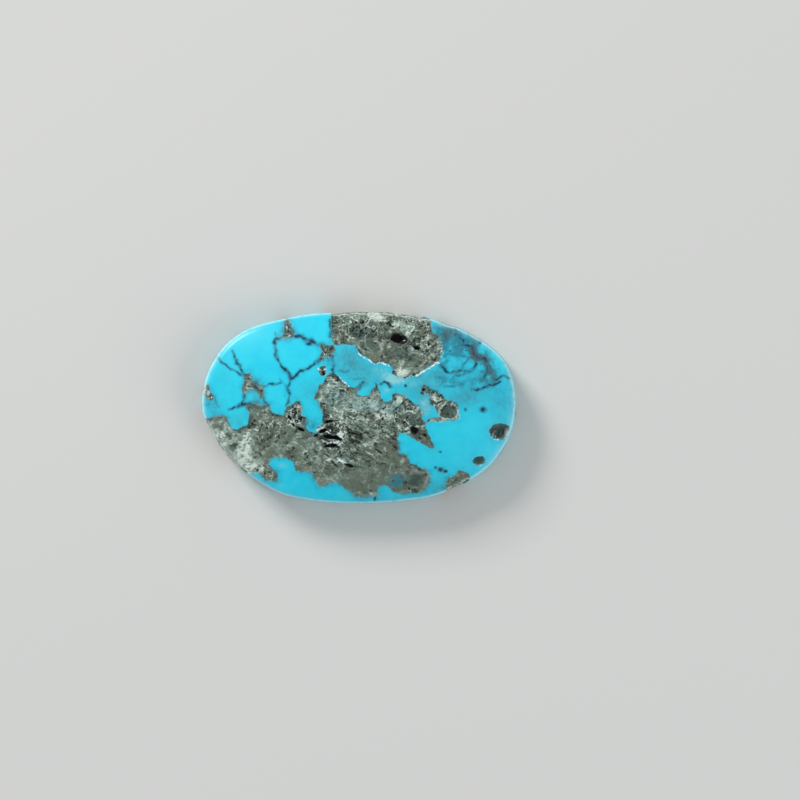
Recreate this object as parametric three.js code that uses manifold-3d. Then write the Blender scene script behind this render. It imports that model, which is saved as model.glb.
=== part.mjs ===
// An oval turquoise with its grey host rock: one natural stone, ground to a low dome on a flat underside.
// Millimetres, +Z up. The origin is the middle of the underside, with the stone's length along X.
// The blue mineral keeps the polished crown. The softer rock between it sits a ledge lower, lumpy and pitted.

import * as THREE from 'three';
import { mergeVertices } from 'three/addons/utils/BufferGeometryUtils.js';
import Module from 'manifold-3d';

// Driving dimensions
const STONE_LENGTH = 30;
const STONE_WIDTH = 18.4;
const STONE_HEIGHT = 5.2;
const SHOULDER_HEIGHT = 3.3;
const WALL_TOP = 2.7;
const GIRDLE_HEIGHT = 0.8;
const LEDGE_DEPTH = 0.3;
const LUMP_HEIGHT = 0.07;
// How far the top of the hand-ground wall wanders up and down around the stone
const GIRDLE_WANDER = 0.12;

// The oval seen from above, fuller than an ellipse
const OVAL_POWER = 2.25;
// Local departures from the oval: degrees from +X, millimetres outwards, and spread in degrees
const SWELLS = [
  { at: 18, out: 0.25, spread: 9 },
  { at: 43, out: -0.14, spread: 3 },
  { at: 103, out: -0.12, spread: 9 },
  { at: 149, out: 0.45, spread: 14 },
  { at: 310, out: 0.15, spread: 9 },
  { at: 346, out: -0.14, spread: 10 },
];
// The stretch of rim where bare rock broke away, in degrees, with its depth in millimetres
const BROKEN_RIM = { from: 178, easeIn: 17, to: 232, easeOut: 26, depth: 0.66 };

// The side profile, as shares of the distance from the middle to the oval
const UNDERSIDE_SHARE = 0.955;
const WALL_TOP_SHARE = 0.985;
const SHOULDER_SHARE = 0.945;
// How high the rounded edge between the wall and the crown bulges, from the wall's top to the shoulder
const EDGE_BULGE = 0.65;
const CROWN_POWER = 2.2;
const CROWN_RINGS = 13;
const ROUND_SEGMENTS = 128;

// Outlines of the bare rock, seen from above. Points past the rim run the rock out over the edge.
const ROCK_OUTLINES = {
  crownIsland: [
    [-2.55, 9.8], [-2.5, 7.3], [-2.4, 5.95], [-0.4, 5.85], [0, 5.2], [0.8, 4.6], [1.5, 4.1], [2.9, 4.05],
    [3.15, 3.2], [3.5, 2.85], [5.5, 2.95], [6.2, 3.5], [7.6, 4.2], [7.9, 5.2], [7.65, 6.6], [6.95, 6.95],
    [7, 9.8],
  ],
  veinJunction: [
    [-3.6, 5.95], [-2.3, 5.85], [-2.1, 5.3], [-2.45, 4.75], [-3.1, 4.8], [-3.7, 4.1], [-3.45, 5],
  ],
  heart: [
    [-2.95, 3.15], [-2.2, 3.15], [-0.8, 1.8], [0, 1.75], [0.1, 1.1], [1.1, 1.15], [1.65, 2.15], [2, 1.5],
    [2.4, 0.55], [2.8, 0.5], [3.7, 1.35], [4.4, 1.15], [5.7, 0.1], [5.9, -0.8], [6.3, -1.7], [7.2, -3.85],
    [6.5, -3.8], [4.4, -2.5], [3.7, -2.4], [3.95, -4.3], [4.6, -4.4], [4.9, -5.3], [6.5, -5.9], [6.7, -7],
    [5.8, -8.15], [3.5, -8.1], [2.7, -7.4], [1.9, -7.45], [1.75, -8.35], [-0.2, -8.55], [-0.6, -7.9],
    [-2.1, -7.1], [-2.9, -7.2], [-3.4, -7.55], [-4, -7.05], [-4.5, -6.1], [-5.9, -6.05], [-6.4, -4.8],
    [-5.4, -3], [-4.5, -2.4], [-3.9, -2.4], [-3.25, -0.8], [-3.75, 0.7], [-4.15, 0.85], [-3.55, 2.2],
  ],
  leftArm: [
    [-10.6, 0.1], [-8.2, 0.25], [-8.1, -0.3], [-7.2, -0.75], [-6.85, -0.6], [-6.7, 0.1], [-5.9, 0.5],
    [-5.4, 0.5], [-5.25, -0.85], [-4.85, -1], [-4.7, -2.1], [-4, -2.6], [-4.5, -5], [-6.5, -4.85],
    [-8.2, -4.8], [-8.2, -5.5], [-7.6, -6.1], [-7.55, -6.9], [-8.8, -6.95], [-9.3, -6.3], [-10.6, -6.4],
    [-11.5, -7.4], [-16, -3], [-16, -1.2], [-14, -0.95], [-12.4, -0.85], [-11.9, -2], [-10.3, -1.7],
    [-10.2, -0.6],
  ],
  rightClump: [
    [5.75, 1.6], [6.1, 1.95], [7.4, 1.55], [8.2, 0.8], [9.2, 0.45], [9.35, -0.4], [9.45, -1.15], [8.2, -1.35],
    [6.3, -1.45], [6.5, -1.1], [7.65, -0.9], [7.1, 0.1], [6.6, 0.3], [6.35, 1.2],
  ],
  rimBean: [
    [12.25, -2.35], [12.6, -1.85], [13.4, -1.55], [14.3, -2], [14.35, -2.45], [13.8, -2.9], [13.1, -3.05],
    [12.55, -2.8],
  ],
  smallBean: [[10.8, -5.25], [10.95, -4.8], [11.5, -4.55], [11.85, -4.9], [11.7, -5.35], [11.2, -5.45]],
  lowerRimChip: [[8.55, -9.2], [8.5, -7.1], [9.5, -6.1], [10.4, -6.35], [10.5, -7], [11, -8.4]],
  leftKnot: [
    [-10.75, 3.1], [-10.05, 3.2], [-9.7, 2.25], [-8.9, 1.85], [-8.8, 0.95], [-9.2, 0.9], [-9.8, 1.8],
    [-10.6, 1.2], [-10.85, 1.9],
  ],
  topKnot: [[-6.95, 7.9], [-6.65, 8.2], [-6.25, 7.6], [-5.95, 6.8], [-6.6, 6.5], [-7.4, 6.5], [-6.95, 6.8]],
  leftRimSpot: [[-14.35, 2.05], [-14.05, 2], [-13.6, 0.95], [-13.9, 0.6], [-14.35, 0.85], [-14.5, 1.5]],
};

// Holes and crevices in the rock: middle, half length, half width, depth and turn in degrees
const PITS = [
  { at: [3.85, 6.5], half: [0.85, 0.42], depth: 0.8, turn: -8 },
  { at: [5.55, 5.62], half: [0.4, 0.24], depth: 0.45, turn: -5 },
  { at: [-2, 8.58], half: [0.28, 0.16], depth: 0.4, turn: 35 },
  { at: [-2.4, -2.85], half: [0.95, 0.26], depth: 0.9, turn: -12 },
  { at: [-3.3, -2.2], half: [0.45, 0.2], depth: 0.6, turn: 25 },
  { at: [-2.75, -1.33], half: [0.55, 0.17], depth: 0.45, turn: 8 },
  { at: [-2.6, -3.72], half: [0.75, 0.2], depth: 0.45, turn: 3 },
  { at: [-0.88, -5.55], half: [0.5, 0.2], depth: 0.4, turn: -10 },
  { at: [5.3, -2.15], half: [0.45, 0.3], depth: 0.5, turn: -30 },
  { at: [-5.6, -2.1], half: [0.45, 0.2], depth: 0.45, turn: 15 },
  { at: [-6.08, -0.8], half: [0.3, 0.22], depth: 0.4, turn: 80 },
  { at: [-3.25, 3.3], half: [0.42, 0.15], depth: 0.4, turn: 105 },
];
const PIT_SEGMENTS = 12;
const PIT_RINGS = 6;

// The rock's lumps are crossed pairs of waves: turns per millimetre along X and Y, in radians, and a shift
const LUMP_WAVE_PAIRS = [
  [{ along: 1.3, across: 0.8, shift: 0 }, { along: -0.5, across: 1.5, shift: 1 }],
  [{ along: 3.1, across: -1.7, shift: 2 }, { along: 1.2, across: 2.6, shift: 0 }],
];

// The block that shapes the rock's floor: its margin around the stone, its cell size and how far down it goes
const FLOOR_MARGIN = 2.1;
const FLOOR_CELL = 0.53;
const FLOOR_BOTTOM = -3;
const CUT_HEIGHT = STONE_HEIGHT + 2;
const MERGE_DISTANCE = 1e-5;

const wasm = await Module();
wasm.setup();

const smoothStep = (low, high, value) => THREE.MathUtils.smoothstep(value, low, high);

// Distance from the middle to the girdle in a direction given in radians
function ovalRadius(angle) {
  const along = Math.abs(Math.cos(angle)) / (STONE_LENGTH / 2);
  const across = Math.abs(Math.sin(angle)) / (STONE_WIDTH / 2);
  let radius = (along ** OVAL_POWER + across ** OVAL_POWER) ** (-1 / OVAL_POWER);
  const degrees = THREE.MathUtils.euclideanModulo(THREE.MathUtils.radToDeg(angle), 360);
  for (const { at, out, spread } of SWELLS) {
    radius += out * Math.exp(-(((degrees - at) / spread) ** 2));
  }
  const { from, easeIn, to, easeOut, depth } = BROKEN_RIM;
  const broken = smoothStep(from, from + easeIn, degrees) * (1 - smoothStep(to - easeOut, to, degrees));
  return radius - depth * broken;
}

// Height of an even dome at a share of the distance from the middle to the girdle
function crownHeight(share) {
  const rise = STONE_HEIGHT - SHOULDER_HEIGHT;
  return SHOULDER_HEIGHT + rise * (1 - (share / SHOULDER_SHARE) ** CROWN_POWER);
}

// How much the uneven grinding lifts the surface, most at the rim and nothing in the middle
function girdleLift(share, angle) {
  return GIRDLE_WANDER * share ** 2 * Math.sin(2 * angle + 1);
}

function crownHeightAt(x, y) {
  const angle = Math.atan2(y, x);
  const share = Math.hypot(x, y) / ovalRadius(angle);
  return crownHeight(share) + girdleLift(share, angle);
}

// Low uneven lumps, from crossing waves of unlike lengths
function rockLumps(x, y) {
  const wave = ({ along, across, shift }) => Math.sin(along * x + across * y + shift);
  const lumps = LUMP_WAVE_PAIRS.map(([one, other]) => wave(one) * wave(other));
  return LUMP_HEIGHT * lumps.reduce((sum, lump) => sum + lump);
}

function rockFloorAt(x, y) {
  return crownHeightAt(x, y) - LEDGE_DEPTH + rockLumps(x, y);
}

// A closed geometry as a solid that can be cut and joined
function solidOf(geometry) {
  const bare = geometry.clone();
  bare.deleteAttribute('normal');
  bare.deleteAttribute('uv');
  const merged = mergeVertices(bare, MERGE_DISTANCE);
  const corners = merged.index.array;
  const kept = [];
  for (let i = 0; i < corners.length; i += 3) {
    const [a, b, c] = corners.subarray(i, i + 3);
    if (a !== b && b !== c && c !== a) {
      kept.push(a, b, c);
    }
  }
  const vertProperties = merged.attributes.position.array;
  return new wasm.Manifold(new wasm.Mesh({ numProp: 3, vertProperties, triVerts: new Uint32Array(kept) }));
}

function geometryOf(solid) {
  const mesh = solid.getMesh();
  const geometry = new THREE.BufferGeometry();
  geometry.setAttribute('position', new THREE.BufferAttribute(mesh.vertProperties, mesh.numProp));
  geometry.setIndex(new THREE.BufferAttribute(mesh.triVerts, 1));
  geometry.computeVertexNormals();
  return geometry;
}

// Moves each vertex of a geometry by a function that changes its position in place
function reshape(geometry, change) {
  const positions = geometry.attributes.position;
  const place = new THREE.Vector3();
  for (let i = 0; i < positions.count; i += 1) {
    place.fromBufferAttribute(positions, i);
    change(place);
    positions.setXYZ(i, place.x, place.y, place.z);
  }
  return geometry;
}

// The polished stone before the rock is let in: a turned profile, stretched out to the oval
function polishedBlank() {
  const edgeShare = (WALL_TOP_SHARE + SHOULDER_SHARE) / 2;
  const edgeHeight = THREE.MathUtils.lerp(WALL_TOP, SHOULDER_HEIGHT, EDGE_BULGE);
  const profile = [
    new THREE.Vector2(0, 0),
    new THREE.Vector2(UNDERSIDE_SHARE, 0),
    new THREE.Vector2(1, GIRDLE_HEIGHT),
    new THREE.Vector2(WALL_TOP_SHARE, WALL_TOP),
    new THREE.Vector2(edgeShare, edgeHeight),
  ];
  for (let ring = 0; ring <= CROWN_RINGS; ring += 1) {
    const share = SHOULDER_SHARE * (1 - ring / CROWN_RINGS);
    profile.push(new THREE.Vector2(share, crownHeight(share)));
  }
  const turned = new THREE.LatheGeometry(profile, ROUND_SEGMENTS).rotateX(Math.PI / 2);
  return reshape(turned, (place) => {
    const angle = Math.atan2(place.y, place.x);
    const reach = ovalRadius(angle);
    if (place.z > GIRDLE_HEIGHT) {
      place.z += girdleLift(Math.hypot(place.x, place.y), angle);
    }
    place.x *= reach;
    place.y *= reach;
  });
}

// A block whose lumpy top is the floor of the rock, a ledge below the crown
function rockFloorBlock() {
  const length = STONE_LENGTH + 2 * FLOOR_MARGIN;
  const width = STONE_WIDTH + 2 * FLOOR_MARGIN;
  const cellsAlong = Math.round(length / FLOOR_CELL);
  const cellsAcross = Math.round(width / FLOOR_CELL);
  const block = new THREE.BoxGeometry(length, width, 1, cellsAlong, cellsAcross, 1);
  return reshape(block, (place) => {
    place.z = place.z > 0 ? rockFloorAt(place.x, place.y) : FLOOR_BOTTOM;
  });
}

// An upright column with a rock outline as its section
function rockColumn(outline) {
  const shape = new THREE.Shape(outline.map(([x, y]) => new THREE.Vector2(x, y)));
  const column = new THREE.ExtrudeGeometry(shape, { depth: CUT_HEIGHT - FLOOR_BOTTOM, bevelEnabled: false });
  return column.translate(0, 0, FLOOR_BOTTOM);
}

// A rounded hollow, sunk from the rock's floor
function pitHollow({ at: [x, y], half: [length, width], depth, turn }) {
  const hollow = new THREE.SphereGeometry(1, PIT_SEGMENTS, PIT_RINGS);
  hollow.rotateX(Math.PI / 2);
  hollow.scale(length, width, depth);
  hollow.rotateZ(THREE.MathUtils.degToRad(turn));
  return hollow.translate(x, y, rockFloorAt(x, y));
}

function turquoiseStone() {
  const columns = Object.values(ROCK_OUTLINES).map((outline) => solidOf(rockColumn(outline)));
  const rock = columns.reduce((joined, column) => joined.add(column));
  const aboveRock = rock.subtract(solidOf(rockFloorBlock()));
  let stone = solidOf(polishedBlank()).subtract(aboveRock);
  for (const pit of PITS) {
    stone = stone.subtract(solidOf(pitHollow(pit)));
  }
  const blue = new THREE.MeshStandardMaterial({ color: 0x2ec9e5, roughness: 0.35, metalness: 0 });
  const mesh = new THREE.Mesh(geometryOf(stone), blue);
  mesh.name = 'turquoise_stone';
  return mesh;
}

const nugget = new THREE.Group();
nugget.add(turquoiseStone());

export default nugget;
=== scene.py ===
# A polished oval turquoise with sunken grey host rock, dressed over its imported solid.
# The stone's own sizes are in millimetres, and MM turns them into Blender's metres.

import math

import bpy
import numpy as np
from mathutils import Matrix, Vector


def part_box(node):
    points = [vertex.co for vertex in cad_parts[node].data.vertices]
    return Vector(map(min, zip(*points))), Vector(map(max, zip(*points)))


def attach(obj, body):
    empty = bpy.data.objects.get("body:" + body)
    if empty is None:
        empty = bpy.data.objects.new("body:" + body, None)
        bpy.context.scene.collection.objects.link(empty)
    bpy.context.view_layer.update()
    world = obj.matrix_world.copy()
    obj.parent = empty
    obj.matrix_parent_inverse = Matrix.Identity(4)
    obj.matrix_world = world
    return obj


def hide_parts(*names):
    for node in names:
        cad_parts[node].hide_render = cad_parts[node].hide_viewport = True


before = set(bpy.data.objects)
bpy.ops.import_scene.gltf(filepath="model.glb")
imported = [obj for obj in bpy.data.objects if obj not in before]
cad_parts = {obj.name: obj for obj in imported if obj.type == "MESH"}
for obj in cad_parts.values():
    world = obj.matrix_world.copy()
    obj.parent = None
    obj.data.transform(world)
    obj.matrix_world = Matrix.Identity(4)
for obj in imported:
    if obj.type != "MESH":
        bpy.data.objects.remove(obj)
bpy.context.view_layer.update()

MM = 0.001
STONE_NODE = "turquoise_stone"
STONE_BODY = "root"

# Sizes of the ground stone: the solid's, a hair smaller so that the skin stays inside the solid's box
node_low, node_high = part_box(STONE_NODE)
INSET = 0.999
STONE_LENGTH = (node_high.x - node_low.x) / MM * INSET
STONE_WIDTH = (node_high.y - node_low.y) / MM * INSET
STONE_HEIGHT = 5.194
SHOULDER_HEIGHT = 3.3
WALL_TOP = 2.7
GIRDLE_HEIGHT = 0.8
OVAL_POWER = 2.25
UNDERSIDE_SHARE = 0.955
WALL_TOP_SHARE = 0.985
SHOULDER_SHARE = 0.945
CROWN_POWER = 2.2
# How the girdle rises and falls around the stone: millimetres, waves, and their start in radians
GIRDLE_WANDER = 0.12
GIRDLE_WAVES = 2
GIRDLE_START = 1

# Where the two rounded edges bend, as a share of the way out and a height
LOWER_EDGE_BEND = (0.982, 0.14)
UPPER_EDGE_BEND = (0.98, 3.14)

# Departures from the oval: degrees from +X, millimetres outwards, and spread in degrees
SWELLS = [(18, 0.25, 9), (43, -0.14, 3), (103, -0.12, 9), (149, 0.45, 14), (310, 0.15, 9), (346, -0.14, 10)]
# The stretch of rim where bare rock broke away: degrees where it starts, is full, starts to end and ends
BROKEN_RIM = (178, 195, 206, 232)
BROKEN_DEPTH = 0.66

# Spacing of the skin's vertices before the rock and the veins are refined
CROWN_RINGS = 90
EDGE_RINGS = 7
WALL_RINGS = 10
UNDERSIDE_RINGS = 22
CROWN_SPACING = 0.14
UNDERSIDE_SPACING = 0.4
# Steps in which the length of the oval is measured
OVAL_STEPS = 3600
# Vertices that lie this near the rock, or are marked this strongly by a vein, get finer triangles
REFINE_MARGIN = 0.2
VEIN_EDGE = 0.14

# How far the rock and the veins drift sideways for each millimetre down through the stone
SEAM_LEAN = (0.32, -0.2)

# Outlines of the bare rock, seen from above. Points past the rim run the rock out over the edge.
ROCK_OUTLINES = {
    "crown_island": [
        (-2.55, 9.8), (-2.55, 8.2), (-2.45, 7.2), (-2.45, 6.3), (-2.25, 5.9), (-2, 5.8), (-0.35, 5.8),
        (-0.05, 5.3), (0.3, 4.85), (0.8, 4.6), (1.15, 4.3), (1.55, 4.1), (2.2, 4.15), (2.9, 4), (3.2, 3.7),
        (3.15, 3.2), (3.4, 2.85), (4.3, 2.75), (5, 2.85), (5.6, 2.95), (6.1, 3.4), (6.6, 3.75), (7.2, 4),
        (7.6, 4.2), (7.75, 4.7), (7.9, 5.3), (7.7, 6), (7.65, 6.6), (7, 6.9), (6.95, 7.5), (6.85, 8.1),
        (7, 8.6), (7.1, 9.8),
    ],
    "vein_junction": [
        (-3.6, 5.9), (-3.1, 5.75), (-2.3, 5.85), (-2.1, 5.3), (-2.45, 4.75), (-2.75, 4.75), (-3.1, 4.8),
        (-3.45, 4.3), (-3.7, 4.1), (-3.45, 5), (-3.5, 5.45),
    ],
    "heart": [
        (-2.9, 3.15), (-2.3, 3.2), (-1.7, 2.75), (-1.3, 2.3), (-0.95, 2.05), (-0.75, 1.75), (-0.2, 1.8),
        (0.05, 1.6), (0, 1.2), (0.4, 1.05), (1, 1.1), (1.2, 1.35), (1.5, 1.75), (1.65, 2.15), (1.9, 1.95),
        (2, 1.5), (2.15, 0.9), (2.35, 0.55), (2.75, 0.5), (3.1, 0.75), (3.3, 1.2), (3.7, 1.35), (4.3, 1.2),
        (4.6, 0.9), (5.2, 0.4), (5.7, 0.1), (5.9, -0.5), (5.95, -1), (6.2, -1.4), (6.35, -1.9), (6.5, -2.4),
        (6.8, -2.9), (7, -3.4), (7.2, -3.85), (6.6, -3.8), (6, -3.45), (5.5, -3.1), (4.6, -2.6),
        (4.3, -2.45), (3.7, -2.4), (3.7, -3), (3.85, -3.6), (3.95, -4.3), (4.6, -4.4), (4.75, -4.9),
        (4.9, -5.3), (5.4, -5.4), (6, -5.75), (6.5, -5.9), (6.7, -6.5), (6.7, -7.1), (6.2, -7.7),
        (5.8, -8.15), (4.8, -8.15), (3.9, -8.15), (3.3, -8), (3, -7.6), (2.6, -7.4), (1.9, -7.45),
        (1.75, -8.35), (0.5, -8.5), (-0.1, -8.6), (-0.55, -8.3), (-0.6, -7.9), (-1.2, -7.7), (-1.6, -7.35),
        (-2.1, -7.1), (-2.9, -7.2), (-3.3, -7.55), (-3.7, -7.45), (-4, -7.05), (-4.4, -6.2), (-4.9, -6),
        (-5.9, -6.05), (-6, -5.6), (-6.15, -5.1), (-6.5, -4.8), (-6.4, -3.2), (-4.5, -2.35), (-3.9, -2.4),
        (-3.65, -1.9), (-3.3, -1.2), (-3.25, -0.6), (-3.45, -0.2), (-3.75, 0.7), (-4.15, 0.85), (-3.9, 1.3),
        (-3.75, 1.8), (-3.55, 2.2), (-3.1, 2.2), (-3, 2.7),
    ],
    "left_arm": [
        (-4.4, -2.9), (-4.2, -5.4), (-6.5, -4.8), (-7.2, -4.75), (-8.2, -4.8), (-8.3, -5.4), (-8, -5.8),
        (-7.6, -6.1), (-7.5, -6.7), (-7.7, -7), (-8.2, -7.05), (-8.8, -6.9), (-9.1, -6.5), (-9.5, -6.2),
        (-10.4, -6.4), (-11.5, -7.4), (-16, -3), (-16, -1.2), (-14.4, -1.2), (-13.9, -0.9), (-13.3, -0.85),
        (-12.7, -0.8), (-12.3, -0.95), (-12.1, -1.5), (-11.9, -2), (-11.3, -2.05), (-10.7, -1.8),
        (-10.3, -1.65), (-10.2, -0.6), (-10.55, -0.15), (-10.6, 0.1), (-9.9, 0.2), (-9, 0.15), (-8.2, 0.25),
        (-8.15, -0.2), (-7.8, -0.6), (-7.2, -0.75), (-6.9, -0.7), (-6.8, -0.2), (-6.7, 0.1), (-6.2, 0.2),
        (-5.9, 0.5), (-5.4, 0.5), (-5.25, 0), (-5.25, -0.8), (-4.9, -0.9), (-4.75, -1.9), (-4.5, -2.35),
    ],
    "right_clump": [
        (5.75, 1.7), (6.1, 1.95), (6.6, 1.75), (7.4, 1.5), (7.5, 1.2), (7.9, 1.15), (8.15, 0.75),
        (8.6, 0.6), (9.15, 0.45), (9.35, 0.1), (9.3, -0.5), (9.45, -1.1), (9, -1.25), (8.3, -1.3),
        (7.6, -1.45), (6.7, -1.4), (6.3, -1.45), (6.5, -1.15), (7.2, -1), (7.7, -0.9), (7.45, -0.5),
        (7.2, -0.1), (7, 0.15), (6.6, 0.3), (6.7, 0.8), (6.4, 1.1), (6.3, 1.4), (5.95, 1.35),
    ],
    "lower_rim_chip": [
        (8.3, -9.2), (8.25, -7.9), (8.25, -7.2), (8.4, -6.7), (9.05, -6.35), (9.4, -6), (10, -6.05),
        (10.45, -6.3), (10.55, -6.8), (10.6, -7.2), (11, -8.4),
    ],
    "left_knot": [
        (-10.75, 3.05), (-10.4, 3.15), (-10.1, 3.25), (-9.9, 2.5), (-9.6, 2.15), (-8.9, 1.85), (-8.85, 1.4),
        (-8.8, 1), (-9.1, 0.85), (-9.4, 1.2), (-9.6, 1.6), (-9.9, 1.75), (-10.3, 1.5), (-10.6, 1.2),
        (-10.8, 1.3), (-10.8, 2),
    ],
    "top_knot": [
        (-6.95, 7.9), (-6.7, 8.2), (-6.4, 8), (-6.25, 7.6), (-5.9, 6.85), (-6.2, 6.6), (-6.6, 6.5),
        (-7.2, 6.4), (-7.4, 6.5), (-7, 6.75), (-6.9, 7.2),
    ],
    "left_rim_spot": [
        (-14.4, 2.05), (-14.15, 2.1), (-14, 1.8), (-13.95, 1.4), (-13.6, 1), (-13.65, 0.7), (-14, 0.6),
        (-14.3, 0.8), (-14.5, 1.2), (-14.55, 1.6),
    ],
}
# Round spots of rock: middle, half length and half width
ROCK_BEANS = [((13.3, -2.3), (1.08, 0.74)), ((11.32, -5), (0.52, 0.46)), ((-3.3, 3.4), (0.34, 0.5))]

# The wobble of listed lines, in millimetres, and its waves along X and along Y: how fast each runs
# with x and with y, where it starts, and its share
WANDER = 0.04
WANDER_WAVES = [
    [(1.3, 2.3, 0, 1), (-2.1, 5.3, 1, 0.5)],
    [(2.9, -1.1, 2, 1), (6.1, 2.3, 0, 0.5)],
]
# How much more than the rock's outlines the veins and the crusts with painted glints wander, and how much
# more often
VEIN_WANDER = 1.5
VEIN_WAVES = 1.8
CRUST_AND_GLINT_WANDER = 2
CRUST_AND_GLINT_WAVES = 1.7
# How steeply a vein, or a crust with its painted glints, fades from its middle
LINE_FADE = 1.5
# Dark veins in the blue: half width in millimetres, darkness, and the points that each follows
VEINS = [
    (0.17, 1, [(-7.4, 6.5), (-7.7, 6.35), (-7.85, 5.9), (-7.75, 5.2), (-7.55, 4.5), (-7.2, 3.9),
            (-6.75, 3.35), (-6.4, 3), (-6.2, 2.75)]),
    (0.10, 0.5, [(-7.7, 6.4), (-7.85, 7)]),
    (0.22, 1, [(-6, 6.75), (-5.4, 6.6), (-5, 6.45), (-4.4, 6.15), (-3.9, 5.95), (-3.4, 5.85)]),
    (0.17, 1, [(-3.55, 4.4), (-4.1, 3.95), (-4.8, 3.6), (-5.35, 3.3), (-5.75, 2.95), (-6.25, 2.65)]),
    (0.13, 0.8, [(-6.25, 2.65), (-6.35, 2.2), (-6.7, 1.85), (-6.45, 1.45), (-6.3, 1), (-6.45, 0.6),
            (-6.7, 0.2)]),
    (0.09, 0.5, [(-7.4, 2.75), (-7.05, 2.3), (-6.7, 1.95)]),
    (0.13, 0.8, [(-13.2, 4.75), (-12.9, 4.35), (-12.65, 4.05), (-12.3, 3.8), (-11.8, 3.5), (-11.3, 3.2),
            (-10.8, 2.95)]),
    (0.15, 0.9, [(-11.75, 5.15), (-11.6, 4.6), (-11.3, 4.05), (-10.95, 3.65), (-10.7, 3.1)]),
    (0.14, 0.8, [(-9.6, 2.2), (-9.2, 1.95), (-8.8, 1.95), (-8.45, 1.95), (-8.15, 2.15), (-7.8, 2.2),
            (-7.3, 2.2)]),
    (0.15, 0.9, [(-10.65, 1.3), (-10.75, 0.8), (-10.8, 0.35), (-11.1, 0.15), (-11.6, -0.1), (-12, -0.2)]),
    (0.17, 0.9, [(-10.8, 0.3), (-10.2, 0.25), (-9.6, 0.2)]),
    (0.13, 0.8, [(-8.85, 0.9), (-8.7, 0.5), (-8.4, 0.3)]),
    (0.11, 0.5, [(-13.55, 1), (-13.3, 0.5), (-13, 0.05)]),
    (0.13, 0.9, [(-6.7, 8.6), (-6.7, 8.2)]),
    (0.15, 0.8, [(-2.55, 8.4), (-2.62, 7.6), (-2.6, 6.6)]),
    (0.15, 0.9, [(-2.35, 4.7), (-2.3, 3.9), (-2.35, 3.5), (-2.2, 3.2)]),
    (0.11, 0.55, [(-1.8, 3.35), (-1.4, 3.3), (-0.9, 3.35)]),
    (0.10, 0.45, [(-0.7, 2.7), (0.3, 2.65), (0.8, 2.65)]),
    (0.14, 0.9, [(0.45, 2.35), (0.25, 1.95), (0.15, 1.7)]),
    (0.14, 0.85, [(2.2, 2.2), (2.5, 2.3), (2.8, 2.2), (3.1, 1.95)]),
    (0.15, 0.54, [(7.75, 4.6), (8.2, 4.85), (8.6, 4.95), (9.5, 4.75), (10.2, 4.75), (10.75, 4.6)]),
    (0.15, 0.85, [(7.75, 4), (7.9, 3.7), (8.3, 3.35), (8.6, 3.2), (9.2, 3.3), (9.6, 3.5), (9.85, 3.9),
            (10.1, 4.4), (10.2, 4.6)]),
    (0.15, 0.9, [(11, 4.15), (10.85, 3.7), (10.6, 3.35), (10.2, 3.3), (9.9, 3.4)]),
    (0.12, 0.45, [(9.2, 2.95), (9.8, 3.1), (10.4, 3.2)]),
    (0.15, 0.85, [(10.6, 5.8), (10.75, 5.3), (10.9, 4.9), (11.4, 4.6), (11.9, 4.5), (12.05, 4.2),
            (12.05, 3.7), (11.95, 3.2), (11.85, 2.7)]),
    (0.15, 1, [(9.75, 6.3), (9.85, 5.75), (10.3, 5.75), (10.55, 5.8)]),
    (0.2, 0.63, [(8, 6.9), (8.3, 6.5), (8.1, 6.2)]),
    (0.22, 0.63, [(9.5, 6.6), (9.65, 6.2)]),
    (0.13, 0.9, [(12.5, 2.7), (13.05, 2.65), (13.35, 2.9), (13.9, 2.85), (14.25, 2.75)]),
    (0.15, 0.85, [(13.2, 2.3), (12.6, 2.1), (12.1, 1.95), (11.5, 1.75), (11.1, 1.6), (10.6, 1.6)]),
    (0.18, 0.54, [(11.7, 2.6), (11.95, 2.75), (12, 2.3)]),
    (0.12, 0.45, [(8.1, 1.95), (8.6, 1.9), (9, 2)]),
    (0.12, 0.45, [(9.6, 2.15), (9.9, 2.1)]),
]
# Dark grains in the blue: their darkness, then the middle, half length and half width of each
GRAIN_DARKNESS = 1.1
DARK_GRAINS = [
    ((11.7, -0.25), (0.32, 0.28)), ((10, -0.25), (0.16, 0.16)), ((7.7, -4.2), (0.12, 0.1)),
    ((7.65, -5.85), (0.22, 0.18)), ((7.25, -5.7), (0.12, 0.14)), ((8.2, -6), (0.18, 0.14)),
    ((7.55, 2.8), (0.1, 0.1)), ((4.4, 2), (0.14, 0.16)), ((13, -1.75), (0.12, 0.1)),
    ((1.6, -8.6), (0.13, 0.3)), ((-4.6, 5.95), (0.3, 0.22)), ((11.4, 6), (0.2, 0.15)),
]
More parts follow.
